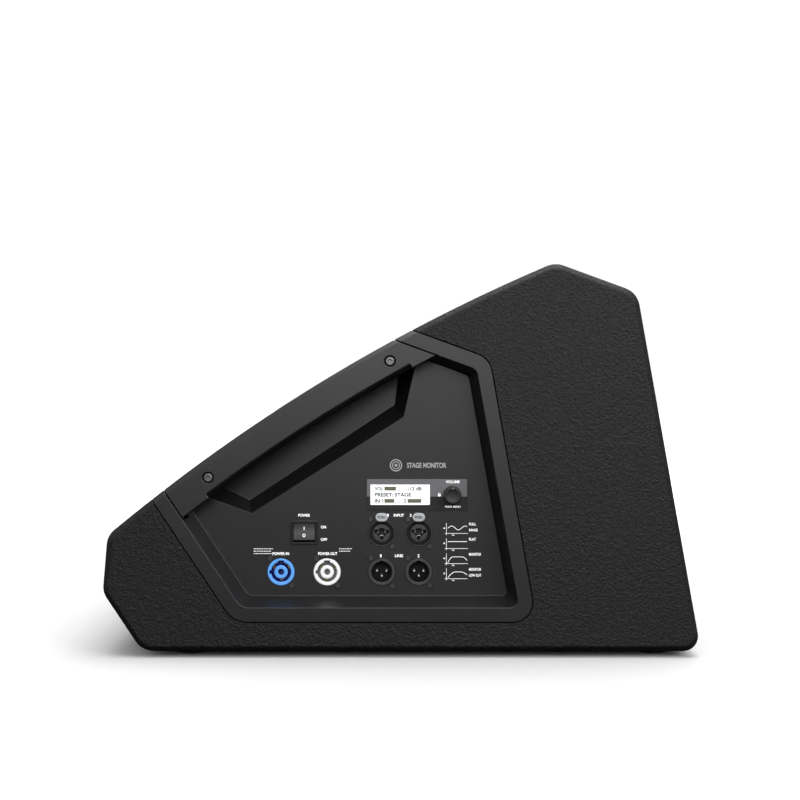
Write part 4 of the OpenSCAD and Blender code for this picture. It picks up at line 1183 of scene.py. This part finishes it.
CARRIED = {
    "stained_board": ["baffle_board"],
    "socket": ["port_tubes", "horn", "hf_rear_cap"],
    "steel": ["encoder_body", "encoder_shaft", "magnet_top_plate", "pole_plate", "hf_housing"],
    "brass": ["encoder_actuator", "power_contacts"],
    "silver": ["signal_contacts"],
    "black_steel": ["connector_screws", "driver_screws", "grille_screws", "foot_and_socket_screws"],
    "aluminium": ["amp_heatsink"],
    "green_board": ["amp_board"],
    "copper": ["power_transformer", "voice_coil"],
    "sleeve": ["filter_capacitors"],
    "blue_board": ["dsp_board"],
    "cable": ["speaker_cables"],
    "wadding": ["damping_wadding"],
    "cast": ["driver_basket"],
    "rubber": ["frame_gasket"],
    "cone_paper": ["woofer_cone"],
    "roll_cloth": ["cone_surround"],
    "spider_cloth": ["cone_spider"],
    "ferrite": ["magnet_ring", "hf_magnet"],
    "foil": ["hf_diaphragm"],
}


def carried_parts():
    for material, nodes in CARRIED.items():
        for node in nodes:
            mesh = frame["nodes"][node].data
            mesh.materials.clear()
            mesh.materials.append(MATERIALS[material])


# ---- Studio ----

WORLD_LOW, WORLD_HIGH = 0.28, 0.70
BACKGROUND = 1.05
OVERHEAD_W, KEY_W, FILL_W, REAR_W = 42, 26, 52, 34
FLOOR_SEEN, FLOOR_BOUNCE = 0.57, 0.02
FLOOR_GLOW_FROM, FLOOR_GLOW_TO = 0.75, 2.2


def studio_floor():
    """A white floor, whose far part glows evenly, and which throws little light up at the object."""
    bm = bmesh.new()
    for x, y in [(-30, -30), (30, -30), (30, 30), (-30, 30)]:
        bm.verts.new((x, y, cad_low.z - 0.05 * MM))
    bm.faces.new(bm.verts)
    floor = to_object("floor", bm)
    s = Surface("white_floor", rough=0.9, specular=0.0)
    s.colour(s.noise(300), [FLOOR_SEEN] * 3 + [1], [FLOOR_SEEN * 1.02] * 3 + [1])
    nodes, links = s.tree.nodes, s.tree.links
    away = nodes.new("ShaderNodeVectorMath")
    away.operation = "LENGTH"
    links.new(s.place, away.inputs[0])
    glow = nodes.new("ShaderNodeMapRange")
    glow.interpolation_type = "SMOOTHSTEP"
    glow.inputs["From Min"].default_value = FLOOR_GLOW_FROM
    glow.inputs["From Max"].default_value = FLOOR_GLOW_TO
    links.new(away.outputs["Value"], glow.inputs["Value"])
    s.glow((1, 1, 1, 1), 0.0)
    links.new(glow.outputs["Result"], s.shader.inputs["Emission Strength"])
    dim = nodes.new("ShaderNodeBsdfDiffuse")
    dim.inputs["Color"].default_value = [FLOOR_BOUNCE] * 3 + [1]
    seen, pick = nodes.new("ShaderNodeLightPath"), nodes.new("ShaderNodeMixShader")
    links.new(seen.outputs["Is Camera Ray"], pick.inputs["Fac"])
    links.new(dim.outputs["BSDF"], pick.inputs[1])
    links.new(s.shader.outputs["BSDF"], pick.inputs[2])
    links.new(pick.outputs["Shader"], nodes["Material Output"].inputs["Surface"])
    floor.data.materials.append(s.material)


def studio():
    studio_floor()
    world = bpy.data.worlds.new("studio")
    world.use_nodes = True
    bpy.context.scene.world = world
    nodes, links = world.node_tree.nodes, world.node_tree.links
    way, parts = nodes.new("ShaderNodeTexCoord"), nodes.new("ShaderNodeSeparateXYZ")
    links.new(way.outputs["Generated"], parts.inputs["Vector"])
    sky = nodes.new("ShaderNodeMapRange")
    ranges = {"From Min": -0.2, "From Max": 0.5, "To Min": WORLD_LOW, "To Max": WORLD_HIGH}
    for label, value in ranges.items():
        sky.inputs[label].default_value = value
    links.new(parts.outputs["Z"], sky.inputs["Value"])
    path, strength = nodes.new("ShaderNodeLightPath"), nodes.new("ShaderNodeMix")
    links.new(path.outputs["Is Camera Ray"], strength.inputs["Factor"])
    links.new(sky.outputs["Result"], strength.inputs["A"])
    strength.inputs["B"].default_value = BACKGROUND
    links.new(strength.outputs["Result"], nodes["Background"].inputs["Strength"])
    nodes["Background"].inputs["Color"].default_value = (1, 1, 1, 1)
    softbox("overhead", (0.12, -0.15, 1.9), (0, 0, 0.15), 1.8, 1.6, OVERHEAD_W)
    softbox("key", (1.5, -1.9, 1.4), (0.05, -0.2, 0.15), 1.3, 1.3, KEY_W)
    softbox("fill", (0.3, -3.2, 1.05), (0, -0.2, 0.25), 2.6, 1.2, FILL_W)
    softbox("rear", (0.4, 2.0, 1.2), (0, 0.2, 0.1), 1.6, 1.2, REAR_W)


def softbox(name, spot, target, width, height, watts):
    light = bpy.data.lights.new(name, "AREA")
    light.shape = "RECTANGLE"
    light.size, light.size_y, light.energy = width, height, watts
    obj = bpy.data.objects.new(name, light)
    obj.location = spot
    obj.rotation_euler = (Vector(target) - Vector(spot)).to_track_quat("-Z", "Y").to_euler()
    bpy.context.scene.collection.objects.link(obj)


def camera():
    """Level, and square to the connector side, as a product picture is taken."""
    away, height, aside = 1.277, 0.222, -0.6 * MM
    lens = bpy.data.cameras.new("camera")
    lens.lens, lens.sensor_width = 66.8, 36
    view = bpy.data.objects.new("camera", lens)
    view.location = ((cad_low.x + cad_high.x) / 2 + aside, SIDE_Y - away, height)
    view.rotation_euler = (math.pi / 2, 0, 0)
    bpy.context.scene.collection.objects.link(view)
    bpy.context.scene.camera = view
    bpy.context.scene.view_settings.view_transform = "Standard"


cabinet_shell()
front_grille()
grille_foam()
connector_tray()
rounded_copy("carry_handle", "handle_bar", 0.8, "grip", "handle_plastic", 3)
handle_screws()
rounded_copy("rubber_feet", "feet", 0.5, "rubber", "foot_rubber")
rounded_copy("pole_socket", "pole_cup", 0.5, "socket", "socket_plastic")
power_socket("power_in_socket", "power_inlet", "blue", "blue_plastic")
power_socket("power_out_socket", "power_outlet", "grey", "white_plastic")
for number in ("1", "2"):
    combo_socket("combo_socket_" + number, "combo_latch_" + number, "input_socket_" + number)
    thru_socket("thru_socket_" + number, "link_socket_" + number)
    release_tab("combo_latch_" + number, "release_tab_" + number, f"input_{number}_latch")
display()
volume_knob()
mains_switch()
panel_print()
carried_parts()
studio()
camera()
